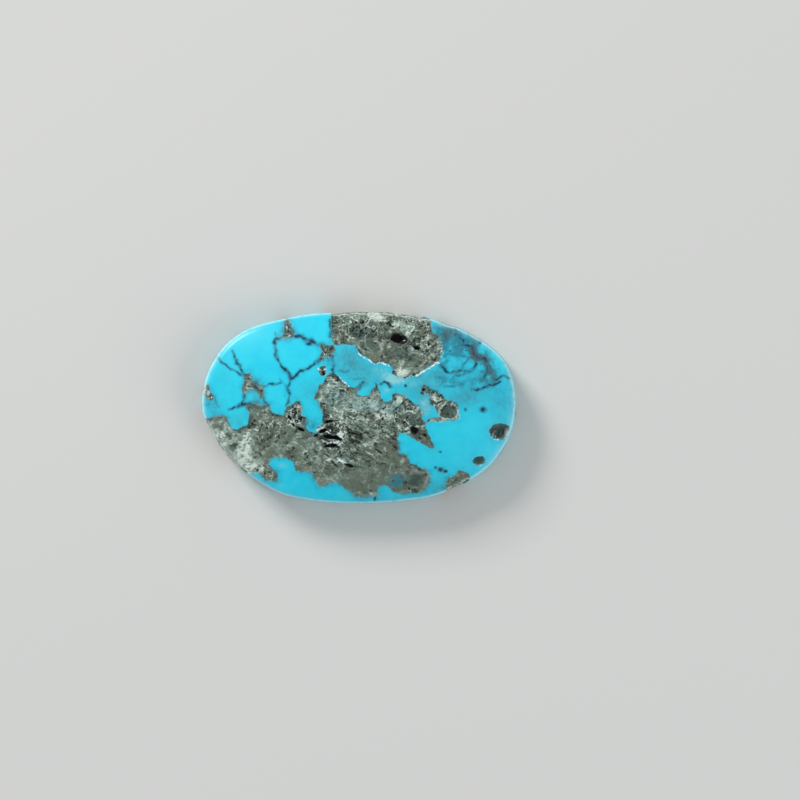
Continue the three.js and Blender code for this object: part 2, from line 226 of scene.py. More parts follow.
# White crusts along the rock's edges and in its middle, mixed with painted highlights of glints on crystal
# faces and lit ledge lips: half width, strength and the points that each follows
CRUSTS_AND_GLINTS = [
    (0.12, 0.9, [(0.1, 5), (0.5, 4.7), (0.95, 4.4), (1.5, 4.05), (2.2, 4.1), (2.9, 3.95)]),
    (0.13, 1.0, [(5.4, 2.85), (6.1, 3.35), (6.7, 3.75), (7.6, 4.15)]),
    (0.1, 0.8, [(7.75, 4.6), (7.9, 5.3), (7.75, 6)]),
    (0.12, 0.9, [(-1.6, 2.75), (-1.2, 2.2), (-0.85, 1.9)]),
    (0.13, 1.4, [(-3.7, -2.15), (-3.4, -1.9), (-3.1, -1.6)]),
    (0.11, 1.3, [(-2.9, -2.4), (-2.2, -2.65), (-1.5, -2.95)]),
    (0.13, 1.3, [(-3.3, -3.35), (-2.5, -3.3), (-1.6, -3.45)]),
    (0.2, 1.5, [(-1.75, -4.85), (-1.65, -4.95)]),
    (0.16, 1.3, [(-1.5, -5.05), (-1.25, -5.3)]),
    (0.09, 0.9, [(1.7, -4.2), (2.3, -4.65)]),
    (0.12, 0.9, [(-3.75, 3.7), (-3.35, 3.35), (-2.95, 3.55)]),
    (0.1, 0.8, [(-6.6, -0.5), (-6.3, -0.8), (-6, -1.3)]),
    (0.1, 0.8, [(-5.8, -0.3), (-5.65, -0.9), (-5.65, -1.5)]),
    (0.09, 0.8, [(-6, -1.9), (-5.6, -1.85), (-5.3, -1.65)]),
    (0.09, 0.9, [(4.2, 6.45), (4.3, 6.45)]),
    (0.1, 0.9, [(4.4, -2), (4.75, -1.85)]),
    (0.1, 0.7, [(12.2, -2.5), (12.6, -2.9), (13.1, -3.1)]),
    (0.1, 0.7, [(9.15, 0.4), (9.35, -0.4), (9.4, -1.1)]),
    (0.09, 0.6, [(10.9, -5.35), (11.3, -5.5), (11.7, -5.35)]),
    (0.1, 0.7, [(8.9, -7.3), (9.5, -7.05), (10.1, -6.9)]),
    (0.12, 0.7, [(-3.4, 8.8), (-2.2, 8.9)]),
    (0.14, 1.0, [(-14.1, 1.3), (-13.9, 1)]),
    (0.1, 0.9, [(-6.75, 7.5), (-6.6, 7.2)]),
]

# Holes and crevices in the rock: middle, half length, half width, depth and turn in degrees
PITS = [
    ((3.85, 6.5), (0.88, 0.5), 0.8, -8), ((5.55, 5.62), (0.4, 0.24), 0.45, -5),
    ((-2, 8.58), (0.28, 0.16), 0.4, 35), ((-2.4, -2.85), (0.95, 0.26), 0.9, -12),
    ((-3.3, -2.2), (0.45, 0.2), 0.6, 25), ((-2.75, -1.33), (0.55, 0.17), 0.45, 8),
    ((-2.6, -3.72), (0.75, 0.2), 0.45, 3), ((-0.88, -5.55), (0.5, 0.2), 0.4, -10),
    ((5.3, -2.15), (0.45, 0.3), 0.5, -30), ((-5.4, -2.05), (0.5, 0.2), 0.5, -20),
    ((-6.4, -1), (0.4, 0.12), 0.4, -55), ((-5.9, -0.7), (0.4, 0.1), 0.4, 80),
    ((-6.1, -1.7), (0.3, 0.12), 0.4, -40), ((-5.35, -1.1), (0.35, 0.1), 0.35, 80),
    ((-3.25, 3.3), (0.42, 0.15), 0.4, 105), ((-3.9, -2.65), (0.25, 0.14), 0.35, 40),
    ((-2.2, -5.4), (0.6, 0.1), 0.3, -40), ((6.3, -2.7), (0.3, 0.15), 0.3, -50),
    ((1.95, -4.2), (0.45, 0.09), 0.25, -36), ((-4, -4.25), (0.4, 0.09), 0.25, -56),
    ((0.4, 8.1), (0.25, 0.14), 0.3, 20), ((6.1, 1.6), (0.22, 0.16), 0.3, 0),
]

# Smooth dark pebbles in the rock: middle, half length and half width, turn in degrees, and darkness
PEBBLES = [
    ((8.45, -0.4), (0.8, 0.66), -10, 1), ((-0.35, 7.15), (0.8, 0.6), 0, 0.45),
    ((1.15, 6.9), (0.6, 0.5), 20, 0.4), ((1.15, 5.7), (1, 0.55), -15, 0.6),
    ((3.55, 5), (1.2, 0.6), -5, 0.35), ((5.3, 4.4), (1, 0.6), 20, 0.45),
    ((-8.9, -3.3), (0.8, 0.55), 0, 0.3), ((5.1, -1.1), (1, 0.5), -25, 0.8),
]

# The painted highlight line around the top of the wall
RIM_HIGHLIGHT_HEIGHT = 2.93
RIM_HIGHLIGHT_SPREAD = 0.19
# How far under that line the wall's own veins and its duller grinding begin, and are full
SIDE_FINISH = (0, 0.5)

# Soft patches of tint and texture: middle, half length, half width and amount
PATCHES = {
    "pale": [
        ((-11, -3.4), (0.7, 1), 0.8), ((-10.9, -4.8), (0.8, 1), 1.0), ((-10.2, -5.9), (1, 0.6), 0.9),
        ((-12.8, -2.6), (1.5, 1.2), 0.6), ((-9.1, -5.7), (0.9, 0.5), 0.5), ((4.1, 3.1), (1.1, 0.45), 1.0),
        ((1.5, 8.7), (0.9, 0.5), 0.8), ((2.9, 0), (0.9, 0.9), 0.9), ((4.3, 0.5), (0.8, 0.7), 0.9),
        ((7.2, 0.8), (0.6, 0.6), 0.6), ((9.2, -0.6), (0.4, 0.7), 0.7), ((7.5, -1.2), (0.9, 0.3), 0.6),
        ((-2, 1.9), (0.9, 0.9), 0.3), ((4, 8.4), (3.5, 0.7), 0.3), ((9.6, -7), (0.6, 0.25), 0.6),
        ((0.6, 0.1), (1.6, 0.8), 1.1), ((-7.2, -4), (1.2, 0.9), 0.3), ((6.2, 6.4), (1.2, 1.4), 0.3),
        ((0.6, 7), (2.2, 1.1), -0.45), ((3.6, 5), (2.2, 0.8), -0.3), ((0.5, -2.8), (2, 1.8), -0.15),
    ],
    "teal": [
        ((0.3, 0.3), (1.5, 0.9), 0.85), ((-4.4, -2.8), (0.9, 0.7), 0.5), ((-2.8, 0.4), (0.7, 0.8), 0.5),
        ((4.1, -6.1), (1, 0.7), 0.45), ((1.6, 0.1), (1, 0.8), 0.4), ((4.2, 5), (1.4, 0.7), 0.5),
        ((5.6, 6.6), (1.2, 1.2), 0.35), ((-2.1, 1.5), (1, 1.2), 0.85), ((3.3, 0.1), (1.1, 0.9), 1.0),
        ((7, 1), (0.8, 0.6), 0.4),
    ],
    "tan": [
        ((-5, -5.9), (1.2, 0.5), 0.7), ((-3.4, -7.1), (0.7, 0.4), 0.8), ((6.3, -7), (0.4, 1.2), 0.7),
        ((4.4, -5.2), (0.7, 0.5), 0.5), ((0.6, -8.3), (1.3, 0.35), 0.5), ((9.6, -6.6), (1, 0.8), 0.6),
        ((-8, -6.4), (0.7, 0.6), 0.4), ((-1.8, 5.95), (0.8, 0.3), 0.5), ((4, 3.2), (1, 0.5), 0.35),
        ((-9.8, 2), (1, 1), 0.4), ((-6.7, 7), (0.7, 0.8), 0.35), ((-8.4, -4.6), (1.4, 0.8), 0.35),
    ],
    "dark": [
        ((13.4, -2.3), (1.1, 0.8), 1.1), ((8.4, -0.3), (0.8, 0.6), 0.45), ((-8.6, -2.1), (2.2, 1.5), 0.25),
        ((-2.5, -2.7), (1.2, 1.3), 0.2), ((2.8, -4.8), (1.5, 1.1), 0.5), ((5.2, -1.7), (1, 0.9), 0.6),
        ((3.9, 6.4), (1.2, 0.7), 0.4), ((3.6, 4.9), (2.2, 0.9), 0.25), ((0.4, 6.9), (1.8, 1.2), 0.75),
        ((5.2, -6.9), (1.2, 0.9), 0.85), ((11.3, -5), (0.7, 0.6), 1.0), ((-9.8, 2), (0.9, 0.9), 0.7),
        ((9.4, -7), (0.9, 0.8), 0.75), ((-6.6, 7.2), (0.7, 0.9), 0.8), ((-2.9, 5.3), (0.8, 0.7), 0.35),
        ((-14.1, 1.3), (0.5, 0.8), 0.3),
    ],
    "muted": [
        ((-0.9, 4.5), (1.6, 1.4), 1.0), ((1.2, 3), (2.4, 1.2), 0.7), ((5.6, 2), (2.2, 1.4), 0.7),
        ((13.6, 0.4), (1.3, 2.6), 0.45), ((-4.6, 1.5), (1.2, 1.2), 0.35), ((9.2, 4.1), (1.6, 0.8), 0.25),
        ((7.3, 3), (1.1, 0.8), 0.7), ((-13.6, 0.2), (1, 0.8), 0.5), ((8.8, 6.5), (1.8, 1.2), 1.0),
        ((10.6, 6.3), (0.8, 0.6), 0.5), ((11, 2.6), (1.4, 0.9), 0.5), ((7.6, 7.8), (0.8, 0.6), 0.6),
        ((8, -7.7), (1.4, 0.8), 0.9), ((10.1, 0.9), (2, 0.9), 0.9), ((0.6, 2.2), (0.5, 0.4), 0.5),
        ((6.3, 0.3), (0.7, 1.1), 0.6), ((-11.2, -1.1), (0.8, 0.7), 0.45), ((-12.6, 2.7), (0.9, 1.1), 0.2),
        ((3, -8.8), (4.5, 0.6), 0.4),
    ],
    "dull": [
        ((-0.6, 4.5), (1.8, 1.5), 0.15), ((1.6, 3.2), (2.8, 1.6), 0.15), ((5.6, 1.8), (2.2, 1.4), 0.15),
        ((8.4, 6.5), (1.4, 1), 0.7), ((10, 6), (1.6, 1), 0.65), ((11.5, 5), (1.2, 1.1), 0.6),
        ((7.8, 5), (0.6, 1.3), 0.7), ((9.4, 5.3), (1.5, 0.5), 0.6), ((8.6, 2.6), (1.5, 0.8), 0.6),
        ((11, 2.3), (1.6, 0.7), 0.5), ((12.4, 3.2), (0.7, 1.1), 0.9), ((11.5, 3.6), (0.7, 0.8), 0.4),
        ((7.6, 7.2), (0.7, 0.7), 0.5), ((7.9, -7.9), (1.6, 0.9), 0.35), ((-4.2, -1.7), (0.8, 1), 0.5),
        ((13.8, 0.2), (1.6, 2.6), 0.25), ((3.5, -7.1), (0.8, 0.7), 1.1), ((6.2, 0.4), (0.8, 1.2), 0.2),
        ((-13.8, 0.2), (1, 0.9), 0.4), ((-7.4, 6.9), (0.7, 0.6), 0.4), ((-6.5, 1), (0.9, 0.8), 0.25),
        ((-2.8, 4.4), (0.6, 0.8), 0.5), ((-4.6, 1.5), (1.2, 1.2), 0.1), ((-7.5, -7.4), (3, 0.7), 0.1),
        ((9.2, 4.1), (1.6, 0.9), 0.25), ((8.8, 7.2), (0.7, 0.4), 0.6), ((10.6, 6.5), (0.8, 0.5), 0.5),
    ],
    "chalk": [
        ((3.4, 2.6), (1, 0.5), 1.3), ((5.3, 2.2), (0.9, 0.6), 0.45), ((7.1, 2.3), (0.6, 0.4), 0.4),
        ((-7.4, -7.3), (0.8, 0.4), 0.35), ((2.1, 3.4), (1.1, 0.6), 0.5), ((2.6, 1.6), (0.5, 0.4), 0.5),
        ((6.2, 0.2), (0.6, 1.2), 0.75), ((-7, -5.5), (0.8, 0.5), 0.42), ((7.6, 7.9), (0.8, 0.5), 0.5),
    ],
    "mixed": [
        ((3.4, 2.2), (1.8, 0.8), 0.8), ((6, 1.2), (1.2, 1.2), 0.8), ((0.2, 2), (1.2, 0.6), 0.5),
        ((-2.9, 4.2), (0.6, 0.9), 0.6), ((-3.9, -1.3), (0.8, 0.9), 0.6), ((5.6, 2.6), (1.4, 0.6), 0.5),
    ],
    "stained": [
        ((3.6, -7), (0.9, 0.65), 1.4), ((-4.3, -2.6), (0.5, 0.4), 0.5), ((1, -8.4), (0.9, 0.25), 0.5),
        ((3.4, 0.2), (1.2, 0.8), 0.15), ((-6.6, 7.1), (0.7, 0.7), 0.3),
    ],
    "smudge": [
        ((10.75, 5.4), (0.5, 0.9), 1.1), ((11.6, 4.55), (0.9, 0.45), 1.2), ((12.45, 3.4), (0.5, 0.9), 0.9),
        ((8.15, 6.7), (0.5, 0.6), 1.1), ((9.25, 6.85), (0.5, 0.5), 0.7), ((12.3, 2.7), (0.5, 0.4), 0.4),
        ((-9.7, 2), (1, 1.1), 0.8), ((-6.6, 7), (0.7, 0.8), 0.8), ((-9.6, 0.4), (1.6, 0.4), 0.5),
        ((-2.7, 5.1), (0.8, 0.8), 0.5), ((7.8, -5.9), (0.7, 0.4), 0.7), ((-13.2, 0), (0.6, 0.5), 0.3),
        ((8.6, 7.35), (0.5, 0.4), 0.8), ((9.6, 5.8), (0.4, 0.3), 0.5), ((-4.9, -1.3), (0.5, 0.8), 0.8),
    ],
    "streaked": [((0.4, -2.6), (4.4, 3.4), 1.2)],
    "curly": [
        ((-2.2, 2), (1.3, 1.4), 1.1), ((-2.6, 0.2), (1, 1), 0.6), ((3.4, -0.2), (1.8, 1.3), 1.2),
        ((5.2, -1.4), (1, 1.2), 0.8), ((7.3, 0.7), (1.3, 1), 2.0), ((-5.9, -0.7), (0.9, 1.1), 1.0),
        ((-2.4, -2.6), (1.4, 1.6), 0.7), ((-1.3, -5.2), (1.2, 0.7), 0.6), ((6, 6.3), (1.6, 1.6), 1.0),
        ((2.5, 8.2), (3.5, 0.8), 0.8), ((-0.6, 7.1), (2.4, 1.5), 0.8), ((-3, 5.1), (0.7, 0.9), 0.8),
        ((-9.9, 2), (0.8, 0.9), 0.7), ((-9.5, -2.5), (2, 1.5), 0.35), ((9.6, -7), (0.8, 0.5), 0.5),
        ((0.4, -2.6), (3, 2.4), 0.35), ((3.6, 4.9), (2.2, 0.9), 0.4), ((13.3, -2.3), (1.1, 0.8), 1.0),
        ((-6.6, 7.2), (0.6, 0.9), 1.4), ((-14.1, 1.3), (0.5, 0.8), 1.2), ((0.5, 0.4), (1.4, 0.8), 0.6),
        ((4.1, 3.1), (1, 0.5), 1.0),
    ],
    "soft": [
        ((-9.8, 0), (2.2, 0.7), 1.0), ((-12.6, -1), (1.6, 0.6), 0.8), ((-5.6, 0.2), (0.8, 0.7), 0.4),
        ((-9.7, 2), (1.2, 1.3), 1.0), ((-6.6, 7.1), (0.9, 1.1), 1.0), ((-2.9, 5.1), (0.9, 0.9), 0.7),
        ((-3.5, -6.8), (2.4, 0.9), 0.7), ((0.6, -8), (2, 0.8), 0.9), ((5.6, -7.6), (1.6, 1), 0.9),
        ((6.4, -6), (0.8, 1), 0.7), ((4.1, -4.4), (0.6, 1.2), 0.8), ((8.7, -7), (0.6, 0.8), 1.0),
        ((-8, -6.5), (0.8, 0.8), 0.9), ((-7, -4.9), (1.4, 0.4), 0.5), ((-14.1, 1.3), (0.6, 0.9), 0.6),
        ((5.9, 0), (0.8, 1.2), 0.5), ((-3.8, -0.5), (0.7, 1.8), 0.5),
    ],
    "rough": [
        ((-2.2, -2.3), (1.9, 1.8), 0.6), ((3.6, -0.6), (2.4, 1.8), 0.25), ((-6, -0.5), (0.9, 1), 0.5),
        ((0, -6.9), (4.6, 1.2), -0.35), ((3.5, 5), (2.5, 0.8), -0.3), ((0.8, 7), (1.7, 1.1), 0.3),
        ((8.2, -0.1), (0.9, 0.8), 0.2), ((13.4, -2.3), (1, 0.7), 0.7), ((4.5, 7.8), (2.5, 0.8), 0.2),
        ((-10.9, -4.6), (1.2, 1.8), -0.15), ((11.3, -5), (0.7, 0.6), -0.2), ((-8.6, -2), (2, 1.4), 0.3),
        ((-7, -4.1), (1, 0.8), -0.3), ((2.8, -4.6), (1.6, 1.2), -0.25), ((5.3, -6.9), (1, 0.8), -0.2),
    ],
}
# The rock's roughness where no patch changes it, and its least and most
ROUGH_START = 0.55
ROUGH_LIMITS = (0.1, 1.3)

# The curve that screens use for colours: its straight foot, then its power
SCREEN_STEPS = 255
FOOT_END = 0.04045
FOOT_SLOPE = 12.92
POWER_OFFSET = 0.055
POWER = 2.4


def srgb(red, green, blue):
    """A colour as it is seen on a screen, from 0 to 255, turned into Blender's linear values."""
    channels = np.array([red, green, blue]) / SCREEN_STEPS
    curved = ((channels + POWER_OFFSET) / (1 + POWER_OFFSET)) ** POWER
    linear = np.where(channels <= FOOT_END, channels / FOOT_SLOPE, curved)
    return (*linear.tolist(), 1.0)


# Finishes
BRIGHT_BLUE = srgb(44, 212, 234)
DEEP_BLUE = srgb(26, 203, 232)
DULL_BLUE = srgb(42, 128, 148)
MUTED_BLUE = srgb(66, 142, 156)
CHALK_BLUE = srgb(140, 208, 213)
GROUND_BLUE = srgb(165, 220, 228)
VEIN_TEAL = srgb(0, 60, 88)
SMUDGE_BROWN = srgb(70, 88, 90)
STAIN_BLUE = srgb(50, 125, 138)
STAINED_ROCK = srgb(62, 110, 116)
ROCK_SHADOW = srgb(34, 43, 38)
ROCK_OLIVE = srgb(102, 117, 102)
ROCK_BROWN = srgb(103, 112, 97)
ROCK_LIGHT = srgb(152, 172, 161)
ROCK_WHITE = srgb(207, 219, 208)
ROCK_TEAL = srgb(142, 178, 173)
ROCK_TAN = srgb(156, 140, 122)
ROCK_SLATE = srgb(48, 76, 74)
PEBBLE_GREEN = srgb(54, 78, 70)
CRUST_AND_GLINT_WHITE = srgb(226, 240, 240)
# Painted highlight along the top of the wall, on the blue and on the rock
RIM_HIGHLIGHT_BLUE = srgb(192, 240, 244)
RIM_HIGHLIGHT_ROCK = srgb(208, 218, 210)
PIT_BLACK = srgb(20, 24, 22)
FLOOR_PALE = srgb(214, 213, 209)

# The photograph's framing: a camera straight above, its view's width and middle at the girdle
VIEW_WIDTH = 76.19
VIEW_MIDDLE = (3.905, 0.667)
LENS = 85
SENSOR = 36

# Each light's place and width in metres, and its power in watts
KEY_LIGHT = ((-0.33, 0.4, 0.28), 0.2, 2.6)
FILL_LIGHT = ((0.42, -0.22, 0.3), 0.35, 1.0)
SURROUND_TINT = (0.9, 0.95, 1, 1)
SURROUND_STRENGTH = 0.5
# Half the width of the floor in metres
FLOOR_HALF = 1.5
FLOOR_ROUGHNESS = 0.9


def ease(low, high, value):
    """Rises smoothly from 0 at low to 1 at high."""
    share = np.clip((value - low) / (high - low), 0, 1)
    return share * share * (3 - 2 * share)


def oval_radius(angle):
    """Millimetres from the middle to the girdle in each direction, given in radians."""
    along = np.abs(np.cos(angle)) / (STONE_LENGTH / 2)
    across = np.abs(np.sin(angle)) / (STONE_WIDTH / 2)
    radius = (along ** OVAL_POWER + across ** OVAL_POWER) ** (-1 / OVAL_POWER)
    degrees = np.degrees(angle) % 360
    for at, out, spread in SWELLS:
        radius = radius + out * np.exp(-((degrees - at) / spread) ** 2)
    start, full, ending, end = BROKEN_RIM
    return radius - BROKEN_DEPTH * ease(start, full, degrees) * (1 - ease(ending, end, degrees))


def crown_height(share):
    """Height of an even dome at a share of the way from the middle to the girdle."""
    return SHOULDER_HEIGHT + (STONE_HEIGHT - SHOULDER_HEIGHT) * (1 - (share / SHOULDER_SHARE) ** CROWN_POWER)


def girdle_lift(share, angle):
    """How much the uneven grinding lifts the surface."""
    return GIRDLE_WANDER * share ** 2 * np.sin(GIRDLE_WAVES * angle + GIRDLE_START)


def rounded_edge(start, bend, end, count):
    """Steps along a curve from start to end that leans towards bend, without its first point."""
    way = np.linspace(0, 1, count + 1)[1:, None]
    start, bend, end = np.array(start), np.array(bend), np.array(end)
    return (1 - way) ** 2 * start + 2 * way * (1 - way) * bend + way ** 2 * end


def side_profile():
    """(share, height) of each ring, out along the underside, up the wall and in over the crown."""
    under = np.linspace(0, UNDERSIDE_SHARE, UNDERSIDE_RINGS)
    wall = np.linspace(0, 1, WALL_RINGS + 1)[1:, None]
    girdle = np.array((1, GIRDLE_HEIGHT))
    wall_top = np.array((WALL_TOP_SHARE, WALL_TOP))
    crown = np.linspace(SHOULDER_SHARE, 0, CROWN_RINGS)[1:]
    return np.vstack([
        np.column_stack([under, np.zeros_like(under)]),
        rounded_edge((UNDERSIDE_SHARE, 0), LOWER_EDGE_BEND, girdle, EDGE_RINGS),
        girdle + wall * (wall_top - girdle),
        rounded_edge(wall_top, UPPER_EDGE_BEND, (SHOULDER_SHARE, SHOULDER_HEIGHT), EDGE_RINGS),
        np.column_stack([crown, crown_height(crown)]),
    ])


def even_turns():
    """Directions and lengths along the oval, from which evenly spaced directions are read."""
    angles = np.linspace(0, 2 * np.pi, OVAL_STEPS + 1)
    rim = np.column_stack([np.cos(angles), np.sin(angles)]) * oval_radius(angles)[:, None]
    lengths = np.concatenate([[0], np.cumsum(np.hypot(*np.diff(rim, axis=0).T))])
    return angles, lengths


def zip_rings(first, second):
    """Triangles between two rings of vertex numbers, each spread evenly around the stone."""
    rings = (first, second)
    turns = [((step + 1) / len(ring), side) for side, ring in enumerate(rings) for step in range(len(ring))]
    at = [0, 0]
    triangles = []
    for _, side in sorted(turns):
        here, other = (rings[0][at[0] % len(first)], rings[1][at[1] % len(second)])
        at[side] += 1
        ahead = rings[side][at[side] % len(rings[side])]
        if len({here, other, ahead}) == 3:
            triangles.append((here, ahead, other))
    return triangles


def ground_skin():
    """Vertices in millimetres and triangles of the stone as ground, before the rock weathers out."""
    angles, lengths = even_turns()
    profile = side_profile()
    rings, points, start = [], [], 0
    for share, height in profile:
        spacing = CROWN_SPACING if height > 0 else UNDERSIDE_SPACING
        count = max(1, round(lengths[-1] * share / spacing))
        angle = np.interp(np.arange(count) / count * lengths[-1], lengths, angles)
        reach = oval_radius(angle) * share
        lift = girdle_lift(share, angle) if height > GIRDLE_HEIGHT else np.zeros(count)
        points.append(np.column_stack([reach * np.cos(angle), reach * np.sin(angle), height + lift]))
        rings.append(range(start, start + count))
        start += count
    triangles = [corner for pair in zip(rings, rings[1:]) for corner in zip_rings(*pair)]
    return np.vstack(points), np.array(triangles)


def refine(vertices, triangles, wanted):
    """Halves every edge that touches a wanted vertex, and splits the triangles along it."""
    sides = np.sort(triangles[:, [0, 1, 1, 2, 2, 0]].reshape(-1, 2), axis=1)
    edges, number = np.unique(sides, axis=0, return_inverse=True)
    halved = wanted[edges].any(axis=1)
    middle = np.where(halved, len(vertices) + np.cumsum(halved) - 1, -1)
    middles = middle[number.reshape(-1, 3)]
    splits = (middles >= 0).sum(axis=1)
    # Each triangle is turned so that its lone halved or lone whole edge comes in a known place
    odd = np.where(splits == 1, (middles >= 0).argmax(axis=1), ((middles < 0).argmax(axis=1) + 1) % 3)
    order = (np.arange(3) + odd[:, None]) % 3
    a, b, c = np.take_along_axis(triangles, order, axis=1).T
    ab, bc, ca = np.take_along_axis(middles, order, axis=1).T
    patterns = {
        0: [(a, b, c)],
        1: [(a, ab, c), (ab, b, c)],
        2: [(a, ab, c), (ab, b, bc), (ab, bc, c)],
        3: [(a, ab, ca), (ab, b, bc), (ca, bc, c), (ab, bc, ca)],
    }
    finer = [
        np.column_stack(corners)[splits == count]
        for count, made in patterns.items()
        for corners in made
    ]
    return np.vstack([vertices, vertices[edges[halved]].mean(axis=1)]), np.vstack(finer)


def seam_plan(vertices):
    """Where each vertex lies in the rock's own plan, which leans as it goes down through the stone."""
    x, y, z = vertices.T
    angle = np.arctan2(y, x)
    share = np.hypot(x, y) / oval_radius(angle)
    depth = np.maximum(crown_height(share) + girdle_lift(share, angle) - z, 0)[:, None]
    return vertices[:, :2] + depth * np.array(SEAM_LEAN)


def distance_to_path(points, path):
    """Least distance from each point to a path, in millimetres."""
    best = np.full(len(points), np.inf)
    for start, end in zip(path, path[1:]):
        along = np.subtract(end, start)
        way = np.clip((points - start) @ along / (along @ along), 0, 1)
        best = np.minimum(best, np.hypot(*(points - start - way[:, None] * along).T))
    return best


def depth_inside(points, outline):
    """Signed distance to an outline, positive inside it."""
    closed = [*outline, outline[0]]
    x, y = points.T
    within = np.zeros(len(points), bool)
    for (x0, y0), (x1, y1) in zip(closed, closed[1:]):
        crosses = (y0 > y) != (y1 > y)
        if y0 != y1:
            within ^= crosses & (x < x0 + (y - y0) / (y1 - y0) * (x1 - x0))
    return np.where(within, 1, -1) * distance_to_path(points, closed)


def wander(points):
    """A small sideways wobble, so that listed lines don't run straight between their points."""
    x, y = points.T
    pushes = [
        sum(share * np.sin(by_x * x + by_y * y + start) for by_x, by_y, start, share in waves)
        for waves in WANDER_WAVES
    ]
    return WANDER * np.column_stack(pushes)


def rock_reach(points):
    """Signed distance into bare rock."""
    patches = [depth_inside(points, outline) for outline in ROCK_OUTLINES.values()]
    beans = [(1 - oval_distance(points, middle, half)) * half[1] for middle, half in ROCK_BEANS]
    return np.max(patches + beans, axis=0)


def line_strength(points, lines):
    """How strongly each point is marked by lines, each with a sharp middle and a wide faint edge."""
    strength = np.zeros(len(points))
    for half_width, amount, path in lines:
        away = distance_to_path(points, path) / half_width
        strength = np.maximum(strength, amount / (1 + away ** 2) ** LINE_FADE)
    return strength


def oval_distance(points, middle, half, turn=0.0):
    """Distance from an oval's middle, in which its edge is at 1."""
    angle = math.radians(turn)
    x, y = (points - middle).T
    along = x * math.cos(angle) + y * math.sin(angle)
    across = y * math.cos(angle) - x * math.sin(angle)
    return np.hypot(along / half[0], across / half[1])


def marks(vertices):
    """The named values that the relief and the finish read at each vertex."""
    plan = seam_plan(vertices)
    wobbled = plan + wander(plan)
    crooked = plan + VEIN_WANDER * wander(VEIN_WAVES * plan)
    made = {"rock": rock_reach(wobbled), "vein": line_strength(crooked, VEINS)}
    for middle, half in DARK_GRAINS:
        grain = GRAIN_DARKNESS * np.exp(-oval_distance(wobbled, middle, half) ** 2)
        made["vein"] = np.maximum(made["vein"], grain)
    # White crusts together with painted highlights of glints and lit ledge lips
    ragged = plan + CRUST_AND_GLINT_WANDER * wander(CRUST_AND_GLINT_WAVES * plan)
    made["crust_and_glint"] = line_strength(ragged, CRUSTS_AND_GLINTS)
    made["pit"] = np.zeros(len(vertices))
    for middle, half, depth, turn in PITS:
        hollow = np.sqrt(np.clip(1 - oval_distance(wobbled, middle, half, turn) ** 2, 0, 1))
        made["pit"] = np.maximum(made["pit"], depth * hollow)
    reaches = [
        (1 - oval_distance(wobbled, middle, half, turn)) * half[1]
        for middle, half, turn, _ in PEBBLES
    ]
    darkness = np.array([pebble[-1] for pebble in PEBBLES])
    made["pebble"] = np.max(reaches, axis=0)
    made["pebble_tone"] = darkness[np.argmax(reaches, axis=0)]
    angle = np.arctan2(vertices[:, 1], vertices[:, 0])
    above_rim = vertices[:, 2] - girdle_lift(1, angle) - RIM_HIGHLIGHT_HEIGHT
    # The band around the top of the wall that carries a painted highlight
    made["rim"] = np.exp(-((above_rim / RIM_HIGHLIGHT_SPREAD) ** 2))
    made["side"] = ease(*SIDE_FINISH, -above_rim)
    for name, patches in PATCHES.items():
        made[name] = sum(
            amount * np.exp(-oval_distance(plan, middle, half) ** 2)
            for middle, half, amount in patches
        )
    made["rough"] = np.clip(made["rough"] + ROUGH_START, *ROUGH_LIMITS)
    return made


# The value that noise and random tones lie around
MIDDLE = 0.5


